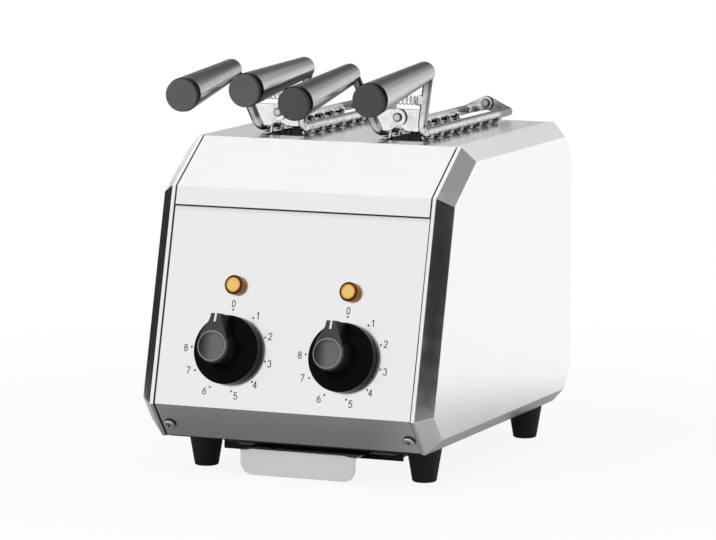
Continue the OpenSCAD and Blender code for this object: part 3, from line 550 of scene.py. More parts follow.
# %% [markdown]
# ## Quartz tubes
# A quartz heater is a milky tube with a coil of resistance wire inside. Seen through the slots it is a
# pale tube with close dark turns, so a wave along the tube, which lies along Y, stands for the coil
# behind the milky wall.

# %% Quartz
COIL_TURNS_PER_M = 420.0
MILKY, COIL_DARK, COIL_FROM = (0.66, 0.63, 0.60), (0.34, 0.29, 0.26), 0.2


def quartz_material():
    """Milky tube: a sine wave along Y darkens where the coil passes behind the wall."""
    mat, nt, shader, coords = new_material("milky_quartz")
    turns = number_math(nt, "MULTIPLY", coordinate(nt, coords, "Y"), COIL_TURNS_PER_M * 2 * math.pi)
    coil = ramp_between(nt, number_math(nt, "SINE", turns), COIL_FROM, 1.0)
    feed(nt, shader.inputs["Base Color"], mixed(nt, coil, MILKY, COIL_DARK))
    shader.inputs["Roughness"].default_value = 0.25
    shader.inputs["Coat Weight"].default_value = 0.4
    return mat


QUARTZ = quartz_material()
print("quartz coil", COIL_TURNS_PER_M, "turns a metre")

# %% [markdown]
# ## Giving each node its finish
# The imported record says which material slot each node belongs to, so the finishes are handed out by
# slot. The side pressings take the steel whose grain runs from front to rear. Slots without a finish
# here, such as the handles, get one of their own further on.

# %% Hand out the finishes
FINISH = {**METALS, **MOULDED, "quartz": QUARTZ}
slot_of = {s["node"]: s["material_slot"] for s in frame["record"]["subparts"]}
for node, obj in NODES.items():
    slot = "side_steel" if node.startswith("side_") else slot_of[node]
    obj.data.materials.clear()
    obj.data.materials.append(FINISH.get(slot, FINISH["body_steel"]))
print("finishes for", len(NODES), "nodes in", len(set(slot_of.values())), "slots")

# %% [markdown]
# ## Finishes that change over one piece
# Some pieces are one solid but not one finish: a knob's face has a painted grey sheen while its skirt is
# black, a cap's flat end is lighter than its side in painted shade, and the sheet just under the cover's lip
# has a painted shadow line and painted shade below it.
# A mask made from Object coordinates tells these places apart, because it stays with the piece in every
# pose and needs no unwrapping.

# %% Panel axes
DIAL_X, DIAL_Y, DIAL_Z = 42.6 * MM, -121.111 * MM, 89.130 * MM
LEAN = math.radians(14.7)
PANEL_UP = np.array([0.0, math.sin(LEAN), math.cos(LEAN)])
PANEL_OUT = np.array([0.0, -math.cos(LEAN), math.sin(LEAN)])
PANEL_ACROSS = np.array([1.0, 0.0, 0.0])
SIDES = {"left": -1, "right": 1}
print("panel out", PANEL_OUT.round(4), "up", PANEL_UP.round(4))

# %% Painted shadow and shade under the cover's lip
LIP_LOW = 98.5 * MM
SEAM_DEEP, SEAM_SOFT, SEAM_SHARE = 0.9 * MM, 5.0 * MM, 0.30
# Colours of the painted shade below the lip and of the painted shadow line in the seam.
SEAM_PAINTED_SHADE, SEAM_PAINTED_SHADOW = (0.30, 0.30, 0.31), (0.035, 0.035, 0.037)
EDGE_SOFT = 0.3 * MM


def coloured_by(mat):
    """A material's tree, its shader, the socket that now feeds its colour, and its Object coordinates."""
    nt = mat.node_tree
    shader = nt.nodes["Principled BSDF"]
    source = shader.inputs["Base Color"].links[0].from_socket
    return nt, shader, source, nt.nodes["Texture Coordinate"].outputs["Object"]


def panel_steel():
    """Body steel with a painted shadow line just under the lip and painted soft shade below it, by the
    height up the panel."""
    mat = metal("panel_steel", *BODY_SHEET)
    nt, shader, colour, xyz = coloured_by(mat)
    lip = float(np.dot((0.0, DIAL_Y, DIAL_Z), PANEL_UP)) + LIP_LOW
    height = vector_math(nt, "DOT_PRODUCT", xyz, PANEL_UP)
    shade = ramp_between(nt, height, lip - SEAM_SOFT, lip, 0.0, SEAM_SHARE, smooth=True)
    line = ramp_between(nt, height, lip - SEAM_DEEP - EDGE_SOFT, lip - SEAM_DEEP)
    shaded = mixed(nt, shade, colour, SEAM_PAINTED_SHADE)
    feed(nt, shader.inputs["Base Color"], mixed(nt, line, shaded, SEAM_PAINTED_SHADOW))
    return mat


NODES["control_panel"].data.materials[0] = panel_steel()
print("seam", round(SEAM_DEEP / MM, 2), "mm deep with a shade of", round(SEAM_SOFT / MM, 1), "mm")

# %% [markdown]
# ## Tray, rails and underside
# The tray's handle is bright steel, while its well and the rails get a painted shade, nearly black, and
# the base's underside and the side frames lie in painted shade too. The tray and the base each change
# along one coordinate, so a short ramp on it parts the two finishes.

# %% Tray, rails and underside
WELL_FRONT, WELL_SOFT = -88.0 * MM, 6.0 * MM
# The well's colour is painted shade, nearly black.
WELL_PAINTED_SHADE, TRAY_METALLIC = (0.022, 0.021, 0.021), 0.12
# The underside's colour is painted shade.
UNDERSIDE_TOP, UNDERSIDE_SOFT, UNDERSIDE_PAINTED_SHADE = 26.5 * MM, 0.2 * MM, (0.045, 0.045, 0.047)


def tray_steel():
    """Bright handle in front and a painted shade, nearly black, on the well behind it, parted along Y."""
    mat = metal("tray_steel", (1.0, 1.0, 1.0), (0.95, 0.95, 0.95), 0.48, 0.55, ALONG_X, 0.06)
    nt, shader, colour, xyz = coloured_by(mat)
    well_shade = ramp_between(nt, coordinate(nt, xyz, "Y"), WELL_FRONT - WELL_SOFT, WELL_FRONT, smooth=True)
    feed(nt, shader.inputs["Base Color"], mixed(nt, well_shade, colour, WELL_PAINTED_SHADE))
    shader.inputs["Metallic"].default_value = TRAY_METALLIC
    return mat


def base_steel():
    """Body steel above, and dark below, where the underside and its cut edge lie in shade; parted by
    height."""
    mat = metal("base_steel", *BODY_SHEET)
    nt, shader, colour, xyz = coloured_by(mat)
    height = coordinate(nt, xyz, "Z")
    under = ramp_between(nt, height, UNDERSIDE_TOP, UNDERSIDE_TOP + UNDERSIDE_SOFT, 1.0, 0.0)
    feed(nt, shader.inputs["Base Color"], mixed(nt, under, colour, UNDERSIDE_PAINTED_SHADE))
    return mat


# Painted shade: nearly black steel for the rails and the tie, dark steel for the side frames.
DARK_SHADE_STEEL = metal("dark_shade_steel", (0.030, 0.029, 0.029), (0.018, 0.018, 0.018), 0.40, 0.55, ALONG_Y, 0.06)
SHADED = metal("frame_steel", (0.060, 0.060, 0.062), (0.040, 0.040, 0.042), 0.35, 0.45, ALONG_Y, 0.06)
NODES["crumb_tray"].data.materials[0] = tray_steel()
NODES["base_plate"].data.materials[0] = base_steel()
for word in SIDES:
    NODES[f"tray_rail_{word}"].data.materials[0] = DARK_SHADE_STEEL
    NODES[f"side_frame_{word}"].data.materials[0] = SHADED
print("tray well dark behind y", WELL_FRONT)

# %% [markdown]
# ## Knobs
# A knob is one black moulding, with a painted grey sheen on its pointer and hub; its hub is a shallow
# dish with painted shade on its left and a painted highlight on its rim. Height along the knob's axis
# parts skirt and pointer, and the distance from the axis parts pointer, rim and dish, so the finish turns
# with the knob.

# %% Knobs
FACE_FROM, HUB_EDGE, RIM_WIDE, RIM_SOFT = 27.5 * MM, 10.2 * MM, 0.5 * MM, 0.2 * MM
DISH_LEFT, DISH_RIGHT = -9.5 * MM, 1.5 * MM
# Painted light on the knob: shade and light across the dish, sheen on the pointer, a highlight on the rim.
DISH_PAINTED_SHADE, DISH_PAINTED_LIGHT = (0.035, 0.034, 0.035), (0.175, 0.172, 0.176)
POINTER_PAINTED_SHEEN, RIM_PAINTED_HIGHLIGHT = (0.072, 0.071, 0.073), (0.34, 0.34, 0.345)


def knob_plastic(word, side):
    """Black skirt; above a height, a painted grey sheen on the pointer and a hollow hub with painted shade
    on its left and a painted highlight on its rim."""
    mat = moulded(f"knob_plastic_{word}", (0.003, 0.003, 0.0033), 1.5, 0.26, 2600.0, 0.02 * MM, 0.03)
    nt, shader, colour, xyz = coloured_by(mat)
    at = place(nt, ABOUT_AXIS, xyz, Middle=(side * DIAL_X, DIAL_Y, DIAL_Z), Axis=tuple(PANEL_OUT))
    face = ramp_between(nt, at["Along"], FACE_FROM, FACE_FROM + EDGE_SOFT)
    hub = ramp_between(nt, at["Radius"], HUB_EDGE, HUB_EDGE + EDGE_SOFT, 1.0, 0.0)
    rim = ramp_between(nt, at["Radius"], HUB_EDGE - RIM_WIDE, HUB_EDGE - RIM_WIDE + RIM_SOFT)
    across = number_math(nt, "SUBTRACT", coordinate(nt, xyz, "X"), side * DIAL_X)
    dish = mixed(nt, ramp_between(nt, across, DISH_LEFT, DISH_RIGHT, smooth=True), DISH_PAINTED_SHADE, DISH_PAINTED_LIGHT)
    painted_face = mixed(nt, hub, POINTER_PAINTED_SHEEN, dish)
    painted_face = mixed(nt, number_math(nt, "MULTIPLY", hub, rim), painted_face, RIM_PAINTED_HIGHLIGHT)
    feed(nt, shader.inputs["Base Color"], mixed(nt, face, colour, painted_face))
    return mat


for word, side in SIDES.items():
    NODES[f"knob_{word}"].data.materials[0] = knob_plastic(word, side)
print("knob faces grey above", round(FACE_FROM / MM, 1), "mm")

# %% [markdown]
# ## Handles and caps
# A handle is a tapered tube of dark chrome. The room's reflection is painted on it as bands along its
# length, from a dark line on top through a light flank to a dark lower side, and the four handles differ
# because each points another way. Bands by the place round the axis give this in any light. A painted
# shadow darkens the tube next to the cap. The cap has a grey end and sides in painted black shade.

# %% Handle helpers
# Grip, droop and toe in degrees, tone of the cap's end, which differs per handle as painted light, where
# the painted reflection's dark lower side begins, tone of that side.
GRIPS = [("left_tong_left", 5.2, 4.8, 0.118, 0.42, 0.09), ("left_tong_right", 4.3, -0.3, 0.118, 0.56, 0.10),
         ("right_tong_left", 6.9, 0.7, 0.078, 0.34, 0.04), ("right_tong_right", 6.3, 0.0, 0.074, 0.16, 0.13)]


def grip_axis(droop, toe):
    """Direction of a handle towards its cap: straight to the front, turned by the toe and dipped by the
    droop."""
    d, t = math.radians(droop), math.radians(toe)
    return np.array([math.sin(t) * math.cos(d), -math.cos(t) * math.cos(d), -math.sin(d)])


def mesh_points(node):
    """All points of a node as an array."""
    mesh = NODES[node].data
    flat = np.empty(len(mesh.vertices) * 3)
    mesh.vertices.foreach_get("co", flat)
    return flat.reshape(-1, 3)


def times(nt, first, second):
    """Two colours multiplied."""
    return mixed(nt, 1.0, first, second, "MULTIPLY")


def colour_ramp(nt, value, stops):
    """A colour by a number: straight lines between stops, each a place and a colour."""
    node = nt.nodes.new("ShaderNodeValToRGB")
    elements = node.color_ramp.elements
    for k, (spot, colour) in enumerate(stops):
        stop = elements[k] if k < 2 else elements.new(spot)
        stop.position, stop.color = spot, (*colour, 1.0)
    feed(nt, node.inputs["Fac"], value)
    return node.outputs["Color"]


print("grips", [g[0] for g in GRIPS])

# %% Handles and caps
# Painted reflection: the tube's tones by the place round its axis, from its lower side to its top.
TUBE_PAINTED_REFLECTION = [(0.30, 1.0), (0.50, 0.98), (0.62, 0.88), (0.71, 0.70), (0.82, 0.57), (0.88, 0.40), (0.933, 0.19),
              (0.97, 0.11), (1.0, 0.07)]
TONE_STEP, TONE_BLUE = 0.02, 1.01
EDGE_TINT = (0.5, 0.5, 0.5, 1.0)
# Painted shadow on the tube next to the cap, and painted shade on the cap's side.
COLLAR, COLLAR_PAINTED_SHADOW = 4.5 * MM, (0.008, 0.008, 0.008)
CAP_SIDE_FROM, CAP_SIDE_TO, CAP_SIDE_PAINTED_SHADE = 0.9 * MM, 0.5 * MM, (0.006, 0.006, 0.006)


def tube_steel(name, middle, axis, front, dark_below, dark):
    """Dark chrome with painted reflection: bands from the tube's top round to a dark lower side, and a
    painted shadow as a black collar next to the cap."""
    mat = metal(name, (1.0, 1.0, 1.0), (0.84, 0.84, 0.84), 0.16, 0.26, ALONG_Y, 0.05, smudge=30.0)
    nt, shader, colour, xyz = coloured_by(mat)
    shader.inputs["Specular Tint"].default_value = EDGE_TINT
    at = place(nt, ABOUT_AXIS, xyz, Middle=tuple(middle), Axis=tuple(axis))
    tones = [(0.0, dark), (dark_below - TONE_STEP, dark)]
    tones += [(spot, tone) for spot, tone in TUBE_PAINTED_REFLECTION if spot > dark_below + TONE_STEP]
    stops = [(spot, (tone, tone, tone * TONE_BLUE)) for spot, tone in tones]
    bands = colour_ramp(nt, ramp_between(nt, at["Top"], -1.0, 1.0), stops)
    collar = ramp_between(nt, at["Along"], front - COLLAR, front - COLLAR + EDGE_SOFT)
    feed(nt, shader.inputs["Base Color"], mixed(nt, collar, times(nt, bands, colour), COLLAR_PAINTED_SHADOW))
    return mat


def cap_plastic(name, tone, axis, front):
    """Grey end and a side in painted black shade, parted by how far a point lies along the handle's axis."""
    mat = moulded(name, (tone, tone * 0.97, tone), 1.12, 0.55, 2600.0, 0.02 * MM, 0.25)
    nt, shader, colour, xyz = coloured_by(mat)
    depth = vector_math(nt, "DOT_PRODUCT", xyz, axis)
    side_of = ramp_between(nt, depth, front - CAP_SIDE_FROM, front - CAP_SIDE_TO, 1.0, 0.0)
    feed(nt, shader.inputs["Base Color"], mixed(nt, side_of, colour, CAP_SIDE_PAINTED_SHADE))
    return mat


for grip, droop, toe, tone, dark_below, dark in GRIPS:
    axis = grip_axis(droop, toe)
    cap, tube = mesh_points(f"{grip}_cap"), mesh_points(f"{grip}_handle")
    middle = (tube.min(0) + tube.max(0)) / 2
    front = float(((tube - middle) @ axis).max())
    finishes = {"handle": tube_steel(f"tube_{grip}", middle, axis, front, dark_below, dark),
                "cap": cap_plastic(f"cap_{grip}", tone, axis, float((cap @ axis).max()))}
    for piece, finish in finishes.items():
        NODES[f"{grip}_{piece}"].data.materials[0] = finish
        NODES[f"{grip}_{piece}"].visible_glossy = False
    print(grip, "handle reaches", round(2 * front / MM, 1), "mm along its axis")

# %% [markdown]
# ## Soft folds
# A folded sheet never has a knife edge: each bend and each cut edge is slightly round and catches a thin
# light line. A Bevel modifier of a few tenths of a millimetre does this, after a Weld has joined the
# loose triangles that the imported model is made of, and a Decimate has merged the flat ones, so that no
# line crosses a flat face.

# %% Round the sheet edges
FOLD_WIDTHS = {
    "top_cover": 0.35, "crumb_tray": 0.4,
    "side_panel_left": 0.2, "side_panel_right": 0.2, "tray_rail_left": 0.3, "tray_rail_right": 0.3,
}
WELD_REACH = 0.005 * MM
FLAT_TURN, FOLD_TURN = math.radians(0.5), math.radians(20)


def soften(node, width_mm):
    """Weld, merge the flat triangles, then a small two-step bevel on edges that turn by more than the
    fold's turn."""
    obj = NODES[node]
    weld = obj.modifiers.new("join_triangles", "WELD")
    weld.merge_threshold = WELD_REACH
    flat = obj.modifiers.new("merge_flat", "DECIMATE")
    flat.decimate_type = "DISSOLVE"
    flat.angle_limit = FLAT_TURN
    bevel = obj.modifiers.new("fold_radius", "BEVEL")
    bevel.width = width_mm * MM
    bevel.segments = 2
    bevel.limit_method = "ANGLE"
    bevel.angle_limit = FOLD_TURN
    bevel.use_clamp_overlap = False


for node, width_mm in FOLD_WIDTHS.items():
    soften(node, width_mm)
print("softened", list(FOLD_WIDTHS))

# %% [markdown]
# ## Placing on the control panel
# The panel leans back, so everything that sits on it is drawn flat in millimetres, across, up and out of
# the panel, and then moved there along the panel's three axes.

# %% Place on the panel
def on_panel(points_mm, side, up_mm=0.0):
    """Points (across, up, out) in millimetres about a dial, as model points; side is -1 for left and 1
    for right."""
    p = np.asarray(points_mm, float) * MM
    centre = np.array([side * DIAL_X, DIAL_Y, DIAL_Z]) + PANEL_UP * up_mm * MM
    return centre + p[:, :1] * PANEL_ACROSS + p[:, 1:2] * PANEL_UP + p[:, 2:3] * PANEL_OUT


print("right dial's middle", on_panel([[0, 0, 0]], 1).round(4).tolist())

# %% [markdown]
# ## Dial numbers and dots
# The numbers are screen-printed in thin grey strokes. Each stroke is a path; a ribbon follows it, and at
# both ends the ribbon narrows by a circle's formula, so that it ends round like the mark of a pen. A
# text object could give numbers too, but not these thin, even strokes.

# %% Strokes of the numbers
def arc_points(cx, cy, rx, ry, start, end, count=18):
    """Points of an ellipse about (cx, cy) from one angle to another, in degrees from the right,
    anticlockwise."""
    a = np.radians(np.linspace(start, end, count))
    return np.stack([cx + rx * np.cos(a), cy + ry * np.sin(a)], 1)


def line_points(*corners):
    """A straight stretch between two corners."""
    return np.array(corners, float)


NUMBER_STROKES = {
    "0": [arc_points(0, 0, 0.25, 0.5, 90, 450, 40)],
    "1": [line_points((-0.16, 0.26), (0.05, 0.5)), line_points((0.05, 0.5), (0.05, -0.5))],
    "2": [np.concatenate([arc_points(0, 0.23, 0.25, 0.27, 170, -35), [[-0.25, -0.5]]]),
          line_points((-0.25, -0.5), (0.27, -0.5))],
    "3": [np.concatenate([arc_points(-0.01, 0.26, 0.23, 0.24, 155, -80),
                          arc_points(-0.01, -0.23, 0.26, 0.27, 80, -155)])],
    "4": [line_points((0.12, -0.5), (0.12, 0.5)), line_points((0.12, 0.5), (-0.28, -0.2)),
          line_points((-0.28, -0.2), (0.28, -0.2))],
    "5": [line_points((0.22, 0.5), (-0.17, 0.5)), line_points((-0.17, 0.5), (-0.21, 0.03)),
          arc_points(0, -0.18, 0.26, 0.32, 140, -150)],
    "6": [arc_points(0, -0.2, 0.26, 0.3, 0, 360, 30), arc_points(0.26, -0.2, 0.52, 0.7, 180, 105)],
    "7": [line_points((-0.26, 0.5), (0.27, 0.5)), line_points((0.27, 0.5), (-0.08, -0.5))],
    "8": [arc_points(0, 0.26, 0.21, 0.24, -90, 270, 28), arc_points(0, -0.24, 0.26, 0.26, 90, 450, 30)],
}
print("strokes for", len(NUMBER_STROKES), "numbers")

# %% Ribbons and dots
ROUND_STEPS, ROUND_TURN = 5, 75


def ribbon(path, width, thick):
    """A printed stroke: points to both sides of the path by half the width, with round ends by sine and
    cosine."""
    r = width / 2
    step = np.gradient(path, axis=0)
    ahead = step / np.linalg.norm(step, axis=1, keepdims=True)
    turn = np.radians(np.linspace(ROUND_TURN, 0, ROUND_STEPS))
    head = path[0] - ahead[0] * (r * np.sin(turn))[:, None]
    tail = path[-1] + ahead[-1] * (r * np.sin(turn[::-1]))[:, None]
    middle = np.concatenate([head, path[1:-1], tail])
    half = np.concatenate([r * np.cos(turn), np.full(len(path) - 2, r), r * np.cos(turn[::-1])])
    first, last = (np.repeat(end[None], ROUND_STEPS, 0) for end in (ahead[0], ahead[-1]))
    way = np.concatenate([first, ahead[1:-1], last])
    out_side = np.stack([-way[:, 1], way[:, 0]], 1) * half[:, None]
    low, high = np.zeros((len(middle), 1)), np.full((len(middle), 1), thick)
    ring = [np.hstack([middle + out_side, low]), np.hstack([middle - out_side, low]),
            np.hstack([middle - out_side, high]), np.hstack([middle + out_side, high])]
    return np.stack(ring, 1).reshape(-1, 3), [face[::-1] for face in tube_faces(len(middle), 4)]


def dot(x, y, size, thick, sides=20):
    """A printed dot: a low disc whose rim is a circle."""
    a = np.linspace(0, 2 * np.pi, sides, endpoint=False)
    rim = np.stack([x + size / 2 * np.cos(a), y + size / 2 * np.sin(a)], 1)
    low, high = np.zeros((sides, 1)), np.full((sides, 1), thick)
    return np.vstack([np.hstack([rim, low]), np.hstack([rim, high])]), tube_faces(2, sides)


print("ribbons end in", ROUND_STEPS, "steps")

# %% Dials
NUMBER_TALL, STROKE_WIDE, INK_THICK = 4.5, 0.70, 0.06
DOT_RING, DOT_SIZE, NUMBER_STEP, PRINT_SHIFT = 28.1, 1.5, 34.0, -0.5
NUMBER_AT = {
    "0": (0.0, 32.2), "1": (19.0, 25.0), "2": (29.6, 11.4), "3": (31.0, -7.2), "4": (21.9, -22.2),
    "5": (8.2, -30.6), "6": (-15.2, -28.6), "7": (-28.9, -15.2), "8": (-32.4, 0.2),
}
INK = moulded("printed_ink", (0.11, 0.11, 0.115), 1.3, 0.55, 3000.0, 0.01 * MM, 0.3)

angles = np.radians(NUMBER_STEP * np.arange(len(NUMBER_AT)))
dots = np.stack([DOT_RING * np.sin(angles), DOT_RING * np.cos(angles)], 1)
prints = [dot(x, y, DOT_SIZE, INK_THICK) for x, y in dots]
for digit, place_mm in NUMBER_AT.items():
    for path in NUMBER_STROKES[digit]:
        prints.append(ribbon(path * NUMBER_TALL + np.array(place_mm), STROKE_WIDE, INK_THICK))
print_points, print_faces = joined(prints)
print_points = print_points + [PRINT_SHIFT, 0, 0]
for word, side in SIDES.items():
    dial = make_mesh(f"dial_marks_{word}", on_panel(print_points, side), print_faces, smooth=False)
    dial.data.materials.append(INK)
    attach(dial, "body")
print("dial marks:", len(print_points), "points each")

# %% [markdown]
# ## Pointer lines
# A white line is let into the outer half of each pointer. It lies on the pointer's sloping top, so its
# stations follow that slope, and it turns with the knob. A painted mask would do as well, but a bar
# keeps its edge sharp.

# %% Pointer lines
LINE_FROM, LINE_TO, LINE_WIDE, LINE_THICK, LINE_SUNK, LINE_STATIONS = 16.6, 22.3, 1.5, 0.12, 0.1, 6
SLOPE_FROM, SLOPE_TO, SLOPE_HIGH, SLOPE_LOW = 8.6, 22.4, 30.0, 28.0


def slope_height(r):
    """Height of the pointer's top at a radius: a straight line from the dish to the outer end."""
    return SLOPE_HIGH + (SLOPE_LOW - SLOPE_HIGH) * (r - SLOPE_FROM) / (SLOPE_TO - SLOPE_FROM)


def line_bar():
    """A low bar on the slope: stations along the radius, each a rectangle from just under to just over
    the slope."""
    r = np.linspace(LINE_FROM, LINE_TO, LINE_STATIONS)
    x = LINE_WIDE / 2 * np.array([1, -1, -1, 1])
    lift = np.array([-LINE_SUNK, -LINE_SUNK, LINE_THICK, LINE_THICK])
    points = np.stack(np.broadcast_arrays(x[None, :], r[:, None], slope_height(r)[:, None] + lift[None, :]), -1)
    return points.reshape(-1, 3), tube_faces(LINE_STATIONS, 4)


WHITE_LINE = moulded("white_line", (0.86, 0.86, 0.86), 1.05, 0.45, 3000.0, 0.01 * MM)
bar_points, bar_faces = line_bar()
for word, side in SIDES.items():
    line = make_mesh(f"pointer_line_{word}", on_panel(bar_points, side), bar_faces, smooth=False)
    line.data.materials.append(WHITE_LINE)
    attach(line, f"knob_{word}")
print("pointer lines", round(LINE_TO - LINE_FROM, 1), "mm long")

# %% [markdown]
# ## Flared pointers
# A moulded pointer doesn't meet its hub at a sharp corner: it widens in a smooth curve until it touches
# the hub's round side. The solid has a straight bar, so two wings are added to it. Their outer edge
# follows a smooth step of the distance from the tip, their inner edge is an arc under the hub's rim, and
# their top lies in the bar's slope.

# %% Pointer wings
WING_TIP, WING_GROW, WING_FROM, WING_TO, WING_EASE = 3.7, 5.8, 5.5, 22.38, 1.25
WING_HUB, WING_CAP, WING_LIFT, WING_LOW = 9.6, 29.95, 0.03, 7.5
WING_STATIONS, TIP_STATIONS = 22, 5
ARC_LEFT, ARC_RIGHT = 150, 30


def pointer_wings():
    """A closed band from the flared edge to the hub's arc: half width is the tip's plus a smooth step
    inwards."""
    way = np.linspace(1, 0, WING_STATIONS)
    y = WING_TO - way * (WING_TO - WING_FROM)
    eased = way ** WING_EASE
    x = WING_TIP + WING_GROW * eased * eased * (3 - 2 * eased)
    tip_x = np.linspace(-WING_TIP, WING_TIP, TIP_STATIONS + 2)[1:-1]
    tip = np.column_stack([tip_x, np.full(TIP_STATIONS, WING_TO)])
    outer = np.vstack([np.column_stack([-x, y]), tip, np.column_stack([x, y])[::-1]])
    a = np.radians(np.linspace(ARC_LEFT, ARC_RIGHT, len(outer)))
    inner = WING_HUB * np.column_stack([np.cos(a), np.sin(a)])
    low = np.full(len(outer), WING_LOW)
    tops = [np.minimum(slope_height(edge[:, 1]), WING_CAP) + WING_LIFT for edge in (outer, inner)]
    loops = [(outer, tops[0]), (outer, low), (inner, low), (inner, tops[1])]
    points = np.stack([np.column_stack([edge, height]) for edge, height in loops], 1).reshape(-1, 3)
    return points, [face[::-1] for face in tube_faces(len(outer), 4)]


wing_points, wing_faces = pointer_wings()
for word, side in SIDES.items():
    wings = make_mesh(f"pointer_wings_{word}", on_panel(wing_points, side), wing_faces, smooth=False)
    wings.data.materials.append(NODES[f"knob_{word}"].data.materials[0])
    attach(wings, f"knob_{word}")
print("pointer wings", len(wing_points), "points each")

# %% [markdown]
# ## Lamp lenses
# A lens is a moulded amber cup: a clear flank, a dark rim of painted shade, and a face of fine prisms
# that spreads the lamp's light. It is turned like a pot: a profile goes round an axis, and the prisms are
# a cosine wave across and up the face. A number on each point, by its distance from the axis, chooses
# the colour; on the face the prisms' wave sets it instead, as painted light and shade, and a painted glow
# brightens the whole lens.

# %% Surfaces of revolution
TURNED_SIDES = 96


def lathe(radius, height, sides=TURNED_SIDES):
    """A profile turned about its axis: ring k has radius[k] and height[k]; the first and last points lie
    on the axis."""
    a = np.linspace(0, 2 * np.pi, sides, endpoint=False)
    r, h = np.asarray(radius, float)[1:-1, None], np.asarray(height, float)[1:-1, None]
    rings = np.stack([r * np.cos(a), r * np.sin(a), np.broadcast_to(h, (len(h), sides))], -1).reshape(-1, 3)
    points = np.vstack([rings, [[0, 0, height[0]], [0, 0, height[-1]]]])
    n, k = len(rings), np.arange(sides)
    ahead = (k + 1) % sides
    low = np.stack([np.full(sides, n), ahead, k], 1)
    high = np.stack([np.full(sides, n + 1), n - sides + k, n - sides + ahead], 1)
    return points, [*grid_faces(len(h), sides), *low, *high]


def mark_points(obj, name, values):
    """One number for each point of a mesh, for its material to read."""
    obj.data.attributes.new(name, "FLOAT", "POINT").data.foreach_set("value", np.asarray(values, float))


def marked(nt, name):
    """The number that a mesh's points carry under a name."""
    node = nt.nodes.new("ShaderNodeAttribute")
    node.attribute_name = name
    return node.outputs["Fac"]


print("turned pieces have", TURNED_SIDES, "sides")

# %% Lenses
LAMP_ABOVE_DIAL = 44.8
LENS_R, LENS_FACE_R, LENS_H, LENS_EDGE, STEM_R, STEM_DEEP = 6.7, 5.1, 5.6, 1.2, 4.5, 7.0
HOLD, EDGE_BREAK, FACE_SUNK, FACE_RINGS = 0.15, 0.35, 0.25, 34
# The prisms' tone is painted light and shade that follows their wave.
PRISM_STEP, PRISM_DEEP, PRISM_MIDDLE, PRISM_PAINTED_LIGHT = 2.8, 0.12, 0.26, 0.24
PRISM_MARGIN, TONE_MARGIN = 0.2, 0.9
# Amber tones by the ring number, with painted shade at the rim.
LENS_AMBER_AND_PAINTED_SHADE = [(0.0, (0.95, 0.74, 0.42)), (0.28, (0.88, 0.56, 0.18)), (0.56, (0.62, 0.32, 0.03)),
              (0.73, (0.66, 0.36, 0.04)), (0.78, (0.045, 0.018, 0.003)), (0.90, (0.060, 0.024, 0.003)),
              (0.97, (0.10, 0.03, 0.002)), (1.0, (0.24, 0.075, 0.001))]
# A painted glow, and uneven cloudiness.
LENS_PAINTED_GLOW, LENS_UNEVEN = 0.22, 0.35


def lens_form():
    """Stem, flank held by close rings, broken edge, and a face whose height is a cosine across times a cosine
    up; the same wave sets the face's painted light and shade."""
    flank_top = LENS_H - LENS_EDGE
    radius = [0, STEM_R, STEM_R, LENS_R - HOLD, LENS_R, LENS_R, LENS_R, LENS_R, LENS_R - EDGE_BREAK,
              LENS_R - LENS_EDGE]
    height = [-STEM_DEEP, -STEM_DEEP, 0, 0, 0, HOLD, flank_top - HOLD, flank_top, LENS_H - EDGE_BREAK, LENS_H]
    points, faces = lathe(np.concatenate([radius, np.linspace(LENS_FACE_R, 0, FACE_RINGS)]),
                          np.concatenate([height, np.full(FACE_RINGS, LENS_H - FACE_SUNK)]))
    x, y, z = points.T
    reach = np.hypot(x, y)
    wave = np.cos(2 * np.pi * x / PRISM_STEP) * np.cos(2 * np.pi * y / PRISM_STEP)
    on_face = (z > 0) & (reach < LENS_FACE_R - PRISM_MARGIN)
    inside = on_face & (reach < LENS_FACE_R - TONE_MARGIN)
    points[:, 2] += np.where(on_face, PRISM_DEEP * wave, 0.0)
    return points, faces, np.where(inside, PRISM_MIDDLE + PRISM_PAINTED_LIGHT * wave, reach / LENS_R)


def amber_material():
    """Amber moulding: the ring number runs from pale centre to gold face, a brown rim of painted shade and
    amber flank; a painted glow brightens it."""
    mat, nt, shader, coords = new_material("amber_lens")
    bands = colour_ramp(nt, marked(nt, "ring"), LENS_AMBER_AND_PAINTED_SHADE)
    skin = place(nt, MOULDED_GRAIN, coords, Grain=1500.0)
    cloudy = mixed(nt, skin["Tone"], (0.7, 0.62, 0.5), (1.0, 1.0, 1.0))
    amber = mixed(nt, LENS_UNEVEN, bands, cloudy, "MULTIPLY")
    feed(nt, shader.inputs["Base Color"], amber)
    feed(nt, shader.inputs["Emission Color"], amber)
    shader.inputs["Emission Strength"].default_value = LENS_PAINTED_GLOW
    shader.inputs["Roughness"].default_value = 0.25
    shader.inputs["Specular IOR Level"].default_value = 0.08
    return mat


AMBER = amber_material()
lens_points, lens_faces, lens_ring = lens_form()
for word, side in SIDES.items():
    lens = make_mesh(f"lens_{word}", on_panel(lens_points, side, LAMP_ABOVE_DIAL), lens_faces)
    mark_points(lens, "ring", lens_ring)
    lens.data.materials.append(AMBER)
    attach(lens, "body")
    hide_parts(f"lamp_lens_{word}")
print("lenses", 2 * LENS_R, "mm wide with", len(lens_points), "points each")

# %% [markdown]
# ## Sheet screws
# The covers are held by pan-head screws with a cross recess. The head is turned like the lens, and the
# cross is cut by lowering the points that lie in one of two crossing bars. The same bars, and a ring at
# the rim, give the painted shade of the recess and the rim.

# %% Screw form
HEAD_R, HEAD_H, HEAD_SIDE, SHANK_R, SHANK_LONG, DOME_RINGS = 4.5, 2.3, 0.25, 1.9, 8.0, 40
BAR_HALF, BAR_REACH, BAR_SOFT, END_SOFT, CROSS_DEEP, CROSS_ABOVE = 0.62, 2.5, 0.15, 0.4, 1.3, 0.2
RIM_FROM, RIM_OVER = 0.93, 0.05


